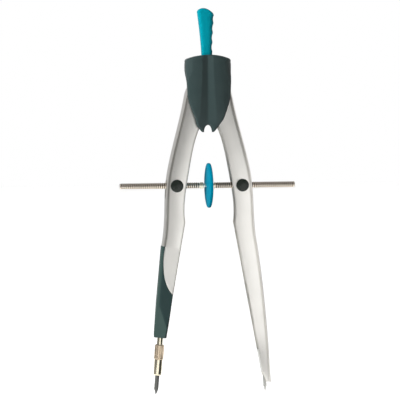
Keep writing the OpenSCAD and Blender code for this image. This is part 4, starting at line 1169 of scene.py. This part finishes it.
def studio_world(seen, ceiling, lit):
    """White where it is seen or reflected, dimmer overhead, and a softer light on the object."""
    world = bpy.data.worlds.new("studio")
    world.use_nodes = True
    g = Graph(world.node_tree)
    looked, reflected = ray_kinds(g)
    way = g.tree.nodes.new("ShaderNodeSeparateXYZ")
    g.put(way.inputs[0], g.add("ShaderNodeTexCoord", out=0))
    dome = g.ramp(way.outputs[2], 0.1, 0.45, seen - lit, ceiling - lit, smooth=True)
    strength = g.calc("MULTIPLY_ADD", looked, seen - lit, g.calc("MULTIPLY_ADD", reflected, dome, lit))
    background = g.tree.nodes["Background"]
    background.inputs["Color"].default_value = (1, 1, 1, 1)
    g.put(background.inputs["Strength"], strength)
    bpy.context.scene.world = world


def soft_lamp(name, place, aim, size, power):
    data = bpy.data.lights.new(name, "AREA")
    data.shape, data.size, data.energy = "DISK", size, power
    lamp = linked(name, data)
    lamp.location = place
    lamp.rotation_mode = "QUATERNION"
    lamp.rotation_quaternion = (Vector(aim) - Vector(place)).to_track_quat("-Z", "Y")
    lamp.visible_glossy = False


stage_plane("floor", 6.0, 6.0, (0, 0, 0), (0, 0, 0), pale_floor(near=0.62, far=0.82, mirrored=0.5))

# Cards that face along Y or along X, each with its brightness, width, height and place
FACE_Y, FACE_X = (math.pi / 2, 0, 0), (math.pi / 2, 0, math.pi / 2)
for name, card in {
    "front_card": (FACE_Y, 0.14, 0.4, 0.051, (-0.17, -0.25, 0.1035)),
    "front_high_card": (FACE_Y, 0.16, 0.13, 0.071, (-0.035, -0.25, 0.1645)),
    "front_low_card": (FACE_Y, 0.16, 0.415, 0.034, (-0.1725, -0.25, 0.039)),
    "bright_card": (FACE_Y, 1.4, 0.17, 0.045, (0.115, -0.25, 0.0725)),
    "foot_card": (FACE_Y, 1.0, 0.28, 0.05, (0.19, -0.25, 0.025)),
    "toe_card": (FACE_Y, 0.45, 0.09, 0.016, (0.045, -0.06, 0.008)),
    "head_card": (FACE_Y, 0.0, 0.4, 0.27, (0.25, -0.25, 0.263)),
    "left_card": (FACE_X, 0.5, 0.7, 0.34, (-0.25, 0.0, 0.245)),
    "left_low_card": (FACE_X, 0.2, 0.7, 0.075, (-0.25, -0.15, 0.0375)),
    "back_card": (FACE_Y, 0.5, 0.5, 0.4, (-0.25, 0.35, 0.2)),
    "right_card": (FACE_X, 0.75, 0.7, 0.34, (0.25, 0.15, 0.24)),
    "right_low_card": (FACE_X, 0.4, 0.7, 0.07, (0.25, 0.15, 0.035)),
    "near_low_card": (FACE_X, 0.06, 0.049, 0.0145, (-0.008, -0.0205, 0.00725)),
    "near_high_card": (FACE_X, 0.03, 0.049, 0.0245, (-0.008, -0.0205, 0.03275)),
}.items():
    reflected_card(name, *card)
studio_world(seen=1.0, ceiling=0.33, lit=0.16)
soft_lamp("key", (-1.0, -0.6, 0.65), mm(0, 0, 90), 1.0, 27.0)

lens = bpy.data.cameras.new("photo_view")
lens.sensor_width = 36.0
lens.lens = lens.sensor_width * CAMERA_DISTANCE / FRAME_WIDTH
lens.clip_start, lens.clip_end = 0.01, 50.0
camera = linked("photo_view", lens)
level = math.cos(CAMERA_ELEVATION)
back = Vector(
    (math.sin(CAMERA_AZIMUTH) * level, -math.cos(CAMERA_AZIMUTH) * level, math.sin(CAMERA_ELEVATION))
)
camera.location = CAMERA_TARGET + back * CAMERA_DISTANCE
camera.rotation_mode = "QUATERNION"
camera.rotation_quaternion = (-back).to_track_quat("-Z", "Y") @ Quaternion((0, 0, 1), -CAMERA_ROLL)
bpy.context.scene.camera = camera
bpy.context.scene.view_settings.view_transform = "Standard"
